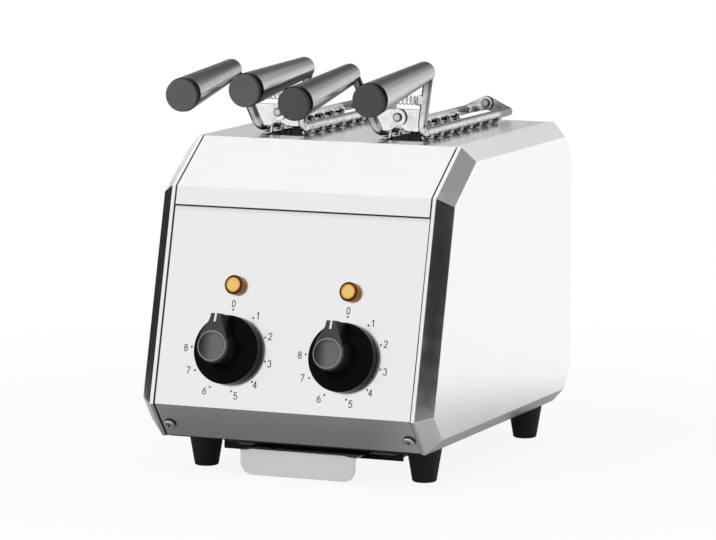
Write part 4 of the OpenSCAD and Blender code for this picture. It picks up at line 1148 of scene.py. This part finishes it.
def soft_bar(x, y):
    """1 inside a bar along y and 0 outside it, with a short straight ramp at its sides and ends."""
    return np.clip((BAR_HALF - x) / BAR_SOFT, 0, 1) * np.clip((BAR_REACH - y) / END_SOFT, 0, 1)


def screw_form():
    """Shank and head, whose height is a fourth-power curve of the radius less two crossed bars; painted
    shade marks these and the rim."""
    r = np.linspace(HEAD_R, 0, DOME_RINGS)
    dome = HEAD_H * (HEAD_SIDE + (1 - HEAD_SIDE) * np.sqrt(np.clip(1 - (r / HEAD_R) ** 4, 0, 1)))
    points, faces = lathe(np.concatenate([[0, SHANK_R, SHANK_R, HEAD_R], r]),
                          np.concatenate([[-SHANK_LONG, -SHANK_LONG, 0, 0], dome]))
    x, y = np.abs(points[:, 0]), np.abs(points[:, 1])
    bars = np.where(points[:, 2] > CROSS_ABOVE * HEAD_H, np.maximum(soft_bar(x, y), soft_bar(y, x)), 0.0)
    points[:, 2] -= CROSS_DEEP * bars
    rim = np.clip((np.hypot(x, y) / HEAD_R - RIM_FROM) / RIM_OVER, 0, 1)
    return points, faces, np.maximum(bars, rim)


def set_in(points_mm, seat, out_dir, turn):
    """Screw points moved to a seat: its axis along out_dir, turned about it by an angle, all in metres."""
    out_dir = np.asarray(out_dir, float)
    up = np.cross(out_dir, PANEL_ACROSS)
    c, s = math.cos(turn), math.sin(turn)
    p = points_mm * MM
    x, y = c * p[:, 0] - s * p[:, 1], s * p[:, 0] + c * p[:, 1]
    return np.asarray(seat) + x[:, None] * PANEL_ACROSS + y[:, None] * up + p[:, 2:3] * out_dir


print("screw heads", 2 * HEAD_R, "mm wide")

# %% Screws
CHAMFER_RUN, CHAMFER_RISE, SCREW_UP = 20.5, 25.3, 12.6
# Painted shade in the cross recess and at the rim.
RECESS_PAINTED_SHADE = (0.05, 0.05, 0.05)
MIRROR = np.array([-1.0, 1.0, 1.0])


def screw_material():
    """Screw steel with painted shade in the recess and at the rim."""
    mat = metal("screw_heads", (0.80, 0.80, 0.80), (0.70, 0.70, 0.71), 0.18, 0.28, ALONG_X, 0.05)
    nt, shader, colour, _ = coloured_by(mat)
    cut = ramp_between(nt, marked(nt, "cross"), 0.1, 0.9)
    feed(nt, shader.inputs["Base Color"], mixed(nt, cut, colour, RECESS_PAINTED_SHADE))
    return mat


chamfer_long = math.hypot(CHAMFER_RUN, CHAMFER_RISE)
slope = np.array([0.0, -CHAMFER_RISE, -CHAMFER_RUN]) / chamfer_long
rear_low, rear_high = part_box("rear_panel_screws")
panel_front, panel_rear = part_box("control_panel")[0][1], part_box("rear_panel")[1][1]
screw_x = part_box("control_panel_screws")[1][0] - HEAD_R * MM
up_share = SCREW_UP / chamfer_long
front_seat = np.array([screw_x, panel_front + CHAMFER_RUN * (1 - up_share) * MM,
                       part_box("base_plate")[0][2] + CHAMFER_RISE * up_share * MM])
rear_heights = (rear_high[2] - HEAD_R * MM, rear_low[2] + HEAD_R * MM)
rear_seats = [(screw_x, panel_rear, z) for z in rear_heights]
groups = {
    "control_panel_screws": [(front_seat, slope, 0.5), (front_seat * MIRROR, slope, 0.2)],
    "rear_panel_screws": [(np.array(s) * m, (0.0, 1.0, 0.0), 0.3 + k) for k, s in enumerate(rear_seats)
                          for m in (1.0, MIRROR)],
}
HEADS = screw_material()
screw_points, screw_faces, screw_painted_shade = screw_form()
for node, seats in groups.items():
    forms = [(set_in(screw_points, seat, out_dir, turn), screw_faces) for seat, out_dir, turn in seats]
    heads = make_mesh(node.replace("_screws", "_heads"), *joined(forms))
    mark_points(heads, "cross", np.tile(screw_painted_shade, len(seats)))
    heads.data.materials.append(HEADS)
    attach(heads, "body")
    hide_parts(node)
    print(heads.name, "in", len(seats), "seats, first", np.round(seats[0][0], 4).tolist())

# %% [markdown]
# ## Tong frames
# Each half of a tong is one bent rod that lies along the slot and rises into an arm, with two riveted
# hinge plates and a cup for the spring. The imported solid has short turns of grid wire round the rod,
# which the real grid has only below it. So the frame is made anew here, in millimetres about the tong's
# middle: a circle swept along the rod's path, plates cut from their outlines, and low turns of wire.
# Polished wire shows bands along its length, and these are painted reflections: each point keeps a tone
# by how far round the wire it lies, times a painted shade along the arms. A form is its points, its
# faces, which faces are smooth, and its tones.

# %% Swept rods
ROD_R, ROD_SIDES = 3.25, 56
# Painted reflection: tones of the bands round polished wire.
ROD_PAINTED_BANDS = [(0.0, 0.08), (0.08, 0.32), (0.14, 0.92), (0.35, 1.0), (0.41, 0.55), (0.455, 0.14), (0.50, 0.60),
             (0.58, 0.95), (0.75, 0.50), (0.90, 0.78), (0.96, 0.30), (1.0, 0.08)]


def painted_band_tone(share):
    """Painted reflection on polished wire by the share of a turn round it: straight lines between the dark
    and light bands."""
    spots, tones = zip(*ROD_PAINTED_BANDS)
    return np.interp(np.asarray(share) % 1.0, spots, tones)


def swept_rod(path, side_way, radius, sides=ROD_SIDES, twist=0.0):
    """A circle along a path in one plane: side_way is square to the plane; a twist turns the painted
    reflection's bands."""
    ahead = np.gradient(path, axis=0)
    ahead /= np.linalg.norm(ahead, axis=1, keepdims=True)
    side_way = np.asarray(side_way, float)
    other = np.cross(side_way, ahead)
    a = np.linspace(0, 2 * np.pi, sides, endpoint=False)
    ring = np.cos(a)[None, :, None] * other[:, None] + np.sin(a)[None, :, None] * side_way
    points = (path[:, None] + radius * ring).reshape(-1, 3)
    faces = tube_faces(len(path), sides)
    smooth = [True] * (len(faces) - 2) + [False, False]
    share = a / (2 * np.pi) + np.broadcast_to(twist, len(path))[:, None]
    return points, faces, smooth, painted_band_tone(share).ravel()


print("rods", 2 * ROD_R, "mm thick")

# %% Bent rods
ROD_X, ROD_Z, ROD_REAR, ROD_BEND = 16.2, 233.25, 132.615, 7.0
ARM_Y, ARM_LEAN, ARM_RISE = -30.985, {"left": 24.5, "right": 7.5}, {"left": 38.8, "right": 42.2}
# Painted shade down each arm: a factor on the tone by the height along the arm.
ARM_PAINTED_SHADE = {"left": ([0, 2, 6, 14, 24], [1.0, 0.80, 0.50, 0.45, 0.16]),
             "right": ([0, 4, 14, 28, 36], [1.0, 0.85, 0.80, 0.60, 0.20])}
ARM_TWIST = 0.30
STRAIGHT_STATIONS, BEND_STATIONS, ARM_STATIONS = 6, 15, 8
STRAIGHT_END, ARM_START = 20.0, 10.0


def arm_reach(word, z):
    """How far an arm's middle lies from the tong's middle at a height, by the tangent of its lean."""
    return ROD_X + math.tan(math.radians(ARM_LEAN[word])) * (z - ROD_Z)


def bent_rod(word, side):
    """Rod path from the rear: straight, a quarter circle, then the leaning arm, swept with the rod's
    circle."""
    lean = math.radians(ARM_LEAN[word])
    up = np.array([side * math.sin(lean), 0, math.cos(lean)])
    across = np.array([math.cos(lean), 0, -side * math.sin(lean)])
    a = np.radians(np.linspace(-90, -180, BEND_STATIONS))
    straight = np.linspace(ROD_REAR - ARM_Y, STRAIGHT_END, STRAIGHT_STATIONS)
    arm = np.linspace(ARM_START, ARM_RISE[word] / math.cos(lean), ARM_STATIONS)
    ahead = np.concatenate([straight, ROD_BEND * (1 + np.cos(a)), np.zeros(ARM_STATIONS)])
    rise = np.concatenate([np.zeros(STRAIGHT_STATIONS), ROD_BEND * (1 + np.sin(a)), arm])
    base = np.array([side * ROD_X, ARM_Y, ROD_Z])
    path = base + ahead[:, None] * np.array([0, 1.0, 0]) + rise[:, None] * up
    twist = np.interp(rise, [0, ROD_BEND], [0, ARM_TWIST])
    points, faces, smooth, tone = swept_rod(path, across, ROD_R, twist=twist)
    shade = np.interp(rise, *ARM_PAINTED_SHADE[word])
    return points, faces, smooth, tone * np.repeat(shade, ROD_SIDES)


print("arms lean", ARM_LEAN, "degrees")

# %% [markdown]
# ## Hinge plates
# The plates are cut from sheet: a round eye for the rivet that runs on into straight edges. The front
# plates of the two halves lie one behind the other. A plate is its outline at two depths, with a narrow
# rim of painted shade along its edge. On the left half the plate bends back to its arm, which a smooth
# step gives.

# %% Cut plates
# The rim's tone is painted shade along a plate's cut edge.
PLATE_T, PLATE_RIM, PLATE_TONE, RIM_PAINTED_SHADE = 1.5, 0.45, 0.92, 0.137
EYE_STATIONS = 40


def flat_form(points, faces, tone):
    """A form whose faces are shaded flat, with one tone for all points or one for each."""
    return points, faces, [False] * len(faces), np.broadcast_to(tone, len(points))


def cut_plate(outline, front, rear):
    """A flat plate: an outline in X and Z, anticlockwise from the front, at two places in Y, with a rim of
    painted shade."""
    n, k = len(outline), np.arange(len(outline))
    along = np.roll(outline, -1, 0) - outline
    square = np.column_stack([along[:, 1], -along[:, 0]]) / np.linalg.norm(along, axis=1, keepdims=True)
    corner = square + np.roll(square, 1, 0)
    inner = outline - PLATE_RIM * corner / np.linalg.norm(corner, axis=1, keepdims=True)
    loops = [(outline, front), (inner, front), (outline, rear)]
    points = np.vstack([np.column_stack([loop[:, 0], np.full(n, y), loop[:, 1]]) for loop, y in loops])
    ahead = (k + 1) % n
    rim = np.stack([k, ahead, n + ahead, n + k], 1)
    edge = np.stack([k, 2 * n + k, 2 * n + ahead, ahead], 1)
    faces = [list(n + k), list(2 * n + k[::-1]), *rim, *edge]
    return flat_form(points, faces, np.repeat([RIM_PAINTED_SHADE, PLATE_TONE, RIM_PAINTED_SHADE], n))


def eye_outline(side, z, eye, stop, corners):
    """A round eye about x = 0 that runs on into straight edges, drawn for the right half and mirrored
    for the left."""
    a = np.radians(np.linspace(270, stop, EYE_STATIONS))
    shape = np.vstack([np.column_stack([eye * np.cos(a), z + eye * np.sin(a)]), corners])
    return shape[::-1] if side > 0 else shape * (-1, 1)


print("plates", PLATE_T, "mm thick")

# %% Hinge plates
EYE_A, EYE_B, RIVET_A_Z, RIVET_B_Z, EYE_B_STOP = 6.0, 5.0, 244.1, 238.9, 60
PLATE_LOW, PLATE_HIGH, PLATE_IN, PLATE_FRONT, ROD_END, PLAY = 234.6, 249.8, 1.625, -34.635, 130.815, 0.3
BEND_IN, BEND_OUT, BEND_DEEP, BEND_PROUD, PLATE_STATIONS = 6.0, 1.8, 2.6, 0.01, 9
ROD_UNDER = 0.866


def plate_bend(word):
    """The left plate's bend to its arm: a straight section carried outwards, set back by a smooth step
    of the way."""
    way = np.linspace(0, 1, PLATE_STATIONS)
    back = BEND_DEEP * way * way * (3 - 2 * way)
    inset = BEND_IN + PLATE_RIM + (BEND_OUT - BEND_IN - PLATE_RIM) * way
    low, high = (-(arm_reach(word, z) - inset) for z in (PLATE_LOW, PLATE_HIGH))
    x = np.stack([low, high, high, low], 1)
    y = PLATE_FRONT + back[:, None] + np.array([-BEND_PROUD, -BEND_PROUD, PLATE_T, PLATE_T])
    z = np.broadcast_to([PLATE_LOW, PLATE_HIGH, PLATE_HIGH, PLATE_LOW], x.shape)
    return flat_form(np.stack([x, y, z], -1).reshape(-1, 3), tube_faces(PLATE_STATIONS, 4), PLATE_TONE)


def hinge_plates(word, side):
    """The front plate beside the arm and the rear plate on the rod's end; the left plates lie in front
    of the right."""
    inset = PLATE_IN if side > 0 else BEND_IN
    low, high = (arm_reach(word, z) - inset for z in (PLATE_LOW, PLATE_HIGH))
    stop = math.degrees(math.asin((PLATE_HIGH - RIVET_A_Z) / EYE_A))
    front_corners = [[high, PLATE_HIGH], [low, PLATE_LOW], [EYE_A, PLATE_LOW]]
    front = eye_outline(side, RIVET_A_Z, EYE_A, stop, front_corners)
    slant = ROD_R * math.sqrt(0.5)
    rear_corners = [[ROD_X + slant, ROD_Z + slant], [ROD_X, ROD_Z - ROD_R * ROD_UNDER]]
    rear = eye_outline(side, RIVET_B_Z, EYE_B, EYE_B_STOP, rear_corners)
    front_y = PLATE_FRONT + (PLATE_T + PLAY if side > 0 else 0.0)
    rear_y = ROD_END + (PLAY if side > 0 else -PLATE_T)
    plates = [cut_plate(front, front_y, front_y + PLATE_T), cut_plate(rear, rear_y, rear_y + PLATE_T)]
    return plates + [plate_bend(word)] if side < 0 else plates


print("rivets at heights", RIVET_A_Z, "and", RIVET_B_Z, "mm")

# %% [markdown]
# ## Spring cups and turns of wire
# The spring sits on a peg in a cup on each arm, and the grid hangs on the rod by its own wire, which
# shows as short turns under the rod. The cup is turned on the lathe and laid along X, and a turn is the
# same swept circle as the rod, on a third of a larger circle.

# %% Spring cups and turns of wire
SPRING_Z, CUP_R, PEG_R, PEG_LONG, CUP_FACE, CUP_SIDES = 256.05, 3.8, 2.2, 5.0, 0.3, 28
TURN_R, GRID_WIRE, GRID_FRONT, GRID_STEP, GRID_COUNT = 4.25, 2.4, -18.685, 18.0, 8
TURN_FROM, TURN_TO, TURN_STATIONS, TURN_SIDES = -150, -30, 9, 12


def spring_cup(word, side):
    """Cup and peg turned about X, from the arm's middle inwards."""
    lean = math.radians(ARM_LEAN[word])
    deep = ROD_R / math.cos(lean) + CUP_R * math.tan(lean) + CUP_FACE
    heights = [0, 0, deep, deep, deep + PEG_LONG, deep + PEG_LONG]
    points, faces = lathe([0, CUP_R, CUP_R, PEG_R, PEG_R, 0], heights, CUP_SIDES)
    seat = np.array([side * arm_reach(word, SPRING_Z), ARM_Y, SPRING_Z])
    placed = seat + np.column_stack([-side * points[:, 2], points[:, 0], -side * points[:, 1]])
    return flat_form(placed, faces, PLATE_TONE)


def low_turns(side):
    """Turns of grid wire under the rod: a circle swept along a third of a larger circle, once for each
    upright."""
    a = np.radians(np.linspace(TURN_FROM, TURN_TO, TURN_STATIONS))
    x, z = side * ROD_X + TURN_R * np.cos(a), ROD_Z + TURN_R * np.sin(a)
    places = GRID_FRONT + GRID_STEP * np.arange(GRID_COUNT)
    arcs = [np.column_stack([x, np.full(TURN_STATIONS, y), z]) for y in places]
    return [swept_rod(arc, (0.0, 1.0, 0.0), GRID_WIRE / 2, TURN_SIDES) for arc in arcs]


print(GRID_COUNT, "turns of wire", GRID_STEP, "mm apart")

# %% [markdown]
# ## The polished frame
# All forms of a half become one mesh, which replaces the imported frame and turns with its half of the
# tong. Its material multiplies each point's tone with drawn grain and small dull patches, so that the
# rod looks handled.

# %% Frame halves
TONGS = {"left_tong": -45.0, "right_tong": 45.0}
PATCH_SIZE, PATCH_DULL = 170.0, (0.66, 0.66, 0.67)


def banded_rod():
    """Polished rod: each point's tone of painted reflection and shade, times drawn grain and the soft patches
    of handling.
    """
    mat = metal("banded_rod", (1.0, 1.0, 1.0), (0.92, 0.92, 0.92), 0.12, 0.20, ALONG_Y, 0.05, smudge=40.0)
    nt, shader, colour, xyz = coloured_by(mat)
    patches = place(nt, SMUDGES, xyz, Size=PATCH_SIZE)["Mask"]
    mottled = mixed(nt, patches, (1.0, 1.0, 1.0), PATCH_DULL)
    feed(nt, shader.inputs["Base Color"], times(nt, times(nt, marked(nt, "tone"), colour), mottled))
    shader.inputs["Specular Tint"].default_value = EDGE_TINT
    return mat


ROD_STEEL = banded_rod()
for tong, middle in TONGS.items():
    for word, side in SIDES.items():
        forms = [bent_rod(word, side), *hinge_plates(word, side), spring_cup(word, side), *low_turns(side)]
        points, faces = joined([f[:2] for f in forms])
        points = (points + [middle, 0, 0]) * MM
        half_frame = make_mesh(f"{tong}_{word}_rod", points, faces, np.concatenate([f[2] for f in forms]))
        mark_points(half_frame, "tone", np.concatenate([f[3] for f in forms]))
        half_frame.data.materials.append(ROD_STEEL)
        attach(half_frame, f"{tong}_{word}_half")
        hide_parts(f"{tong}_{word}_frame")
        low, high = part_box(f"{tong}_{word}_frame")
        off = np.abs(np.concatenate([points.min(0) - low, points.max(0) - high])).max()
        print(half_frame.name, len(points), "points, box off its solid's by", round(off, 4))

# %% [markdown]
# ## Rivets
# A rivet's head is a shallow dome, but the solid's head is flat, so its light is painted: a painted
# highlight in the middle and painted shade at the rim, as the tone falls with the distance from the
# rivets' common axis, which both halves turn on.

# %% Rivets
HINGE_Y, HINGE_Z, HINGE_AXIS = -32.984 * MM, 244.1 * MM, (0.0, 0.999497, -0.031702)
DOME_FROM, DOME_TO = 0.45, 0.95
# Painted highlight in the middle of the head and painted shade at its rim.
DOME_PAINTED_HIGHLIGHT, DOME_PAINTED_SHADE = (0.62, 0.62, 0.63), (0.05, 0.05, 0.052)


def rivet_steel(tong, middle_x, head_r):
    """Painted highlight and shade of a dome: the tone falls by a smooth step of the distance from the axis,
    as a share of the head's radius."""
    mat = metal(f"rivet_steel_{tong}", (1.0, 1.0, 1.0), (0.90, 0.90, 0.91), 0.22, 0.34, ALONG_X, 0.05,
                smudge=80.0)
    nt, shader, colour, xyz = coloured_by(mat)
    at = place(nt, ABOUT_AXIS, xyz, Middle=(middle_x, HINGE_Y, HINGE_Z), Axis=HINGE_AXIS)
    turned = ramp_between(nt, at["Radius"], DOME_FROM * head_r, DOME_TO * head_r, smooth=True)
    dome = mixed(nt, turned, DOME_PAINTED_HIGHLIGHT, DOME_PAINTED_SHADE)
    feed(nt, shader.inputs["Base Color"], times(nt, dome, colour))
    return mat


for tong in TONGS:
    low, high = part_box(f"{tong}_rivets")
    middle_x, head_r = (low[0] + high[0]) / 2, (high[0] - low[0]) / 2
    NODES[f"{tong}_rivets"].data.materials[0] = rivet_steel(tong, middle_x, head_r)
    print(tong, "rivet heads", round(2 * head_r / MM, 2), "mm wide")

# %% [markdown]
# ## Tie between the rails
# Under the tray's front, a narrow strip ties the two rails together, painted nearly black for the shade
# under the tray. It stays below the tray, so the tray slides out over it. Its long edges are rolled, so
# its section is a rounded box carried along X.

# %% Rails' tie
TIE_LOW, TIE_HIGH, TIE_THICK = 12.9 * MM, 16.9 * MM, 1.0 * MM
TIE_SIDES, TIE_STATIONS, TIE_POWER = 24, 7, 0.4


def squared(wave):
    """A cosine or sine pushed out towards -1 and 1 by a power, which turns a circle into a rounded box."""
    return np.sign(wave) * np.abs(wave) ** TIE_POWER


def strip(x_half, y_front, thick, z_low, z_high):
    """A straight strip with rolled long edges: a rounded box, by squared cosine and sine, carried along
    X."""
    a = np.linspace(0, 2 * np.pi, TIE_SIDES, endpoint=False)
    y = y_front + thick / 2 + thick / 2 * squared(np.cos(a))
    z = (z_low + z_high) / 2 + (z_high - z_low) / 2 * squared(np.sin(a))
    x = np.linspace(-x_half, x_half, TIE_STATIONS)
    points = np.stack(np.broadcast_arrays(x[:, None], y[None, :], z[None, :]), -1).reshape(-1, 3)
    return points, tube_faces(TIE_STATIONS, TIE_SIDES)


rail_low, rail_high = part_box("tray_rail_right")
tie = make_mesh("rail_tie", *strip(rail_high[0], rail_low[1], TIE_THICK, TIE_LOW, TIE_HIGH), smooth=False)
# Nearly black, as painted shade under the tray.
tie.data.materials.append(DARK_SHADE_STEEL)
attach(tie, "body")
print("tie across", round(2 * rail_high[0] / MM, 1), "mm, rails' underside at", round(rail_low[2] / MM, 2))

# %% [markdown]
# ## Springs
# Each tong has a compression spring between its arms. A spring is a circle carried along a helix: the
# helix gives the middle, and its own two sideways directions give the circle, so the wire stays round.
# The end turns lie close, as on a real spring, because the pitch falls there. Squeezing the handles
# tilts both cups, so the spring is made in two pieces that meet in the middle.

# %% Springs
SPRING_TURNS, SPRING_OUTER, WIRE_SIZE = 13, 7.0 * MM, 0.9 * MM
CLOSED_PITCH, OPEN_FROM, OPEN_OVER = 1.02 * MM, 0.7, 0.8
STATIONS_A_TURN, WIRE_SIDES = 28, 12
MIDDLE_STATION = SPRING_TURNS * STATIONS_A_TURN // 2
HELD_LONG = 6.5 * MM


def helix_tube(low, high, part):
    """A wire along part of a helix about X: the pitch is a smooth hump, its running sum gives x, and cosine and
    sine give the circle."""
    turn = np.linspace(0, SPRING_TURNS, SPRING_TURNS * STATIONS_A_TURN + 1)
    share = np.clip((np.minimum(turn, SPRING_TURNS - turn) - OPEN_FROM) / OPEN_OVER, 0, 1)
    opened = share * share * (3 - 2 * share)
    travel = np.concatenate([[0], np.cumsum((opened[1:] + opened[:-1]) / 2)])
    closed = turn * CLOSED_PITCH
    free = (high[0] - low[0] - WIRE_SIZE) - closed[-1]
    x = low[0] + WIRE_SIZE / 2 + closed + free * travel / travel[-1]
    a = 2 * np.pi * turn
    radius = (SPRING_OUTER - WIRE_SIZE) / 2
    mid_y, mid_z = (low[1] + high[1]) / 2, (low[2] + high[2]) / 2
    centre = np.stack([x, mid_y + radius * np.cos(a), mid_z + radius * np.sin(a)], 1)
    out_dir = np.stack([np.zeros(len(turn)), np.cos(a), np.sin(a)], 1)
    ahead = np.gradient(centre, axis=0)
    ahead /= np.linalg.norm(ahead, axis=1, keepdims=True)
    other = np.cross(ahead, out_dir)
    b = np.linspace(0, 2 * np.pi, WIRE_SIDES, endpoint=False)
    ring = np.cos(b)[None, :, None] * out_dir[:, None] + np.sin(b)[None, :, None] * other[:, None]
    points = (centre[:, None] + WIRE_SIZE / 2 * ring)[part]
    return points.reshape(-1, 3), tube_faces(len(points), WIRE_SIDES)


for tong in TONGS:
    low, high = (np.array(corner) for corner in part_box(f"{tong}_spring"))
    middle = (low + high) / 2
    for word, part, held in (("left", slice(None, MIDDLE_STATION + 1), low[0] + HELD_LONG),
                             ("right", slice(MIDDLE_STATION, None), high[0] - HELD_LONG)):
        coil = make_mesh(f"{tong}_coil_{word}", *helix_tube(low, high, part))
        coil.data.materials.append(METALS["spring_steel"])
        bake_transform(coil)
        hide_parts(f"{tong}_spring")
    print(tong, "spring from", round(low[0], 4), "to", round(high[0], 4), "over", SPRING_TURNS, "turns")
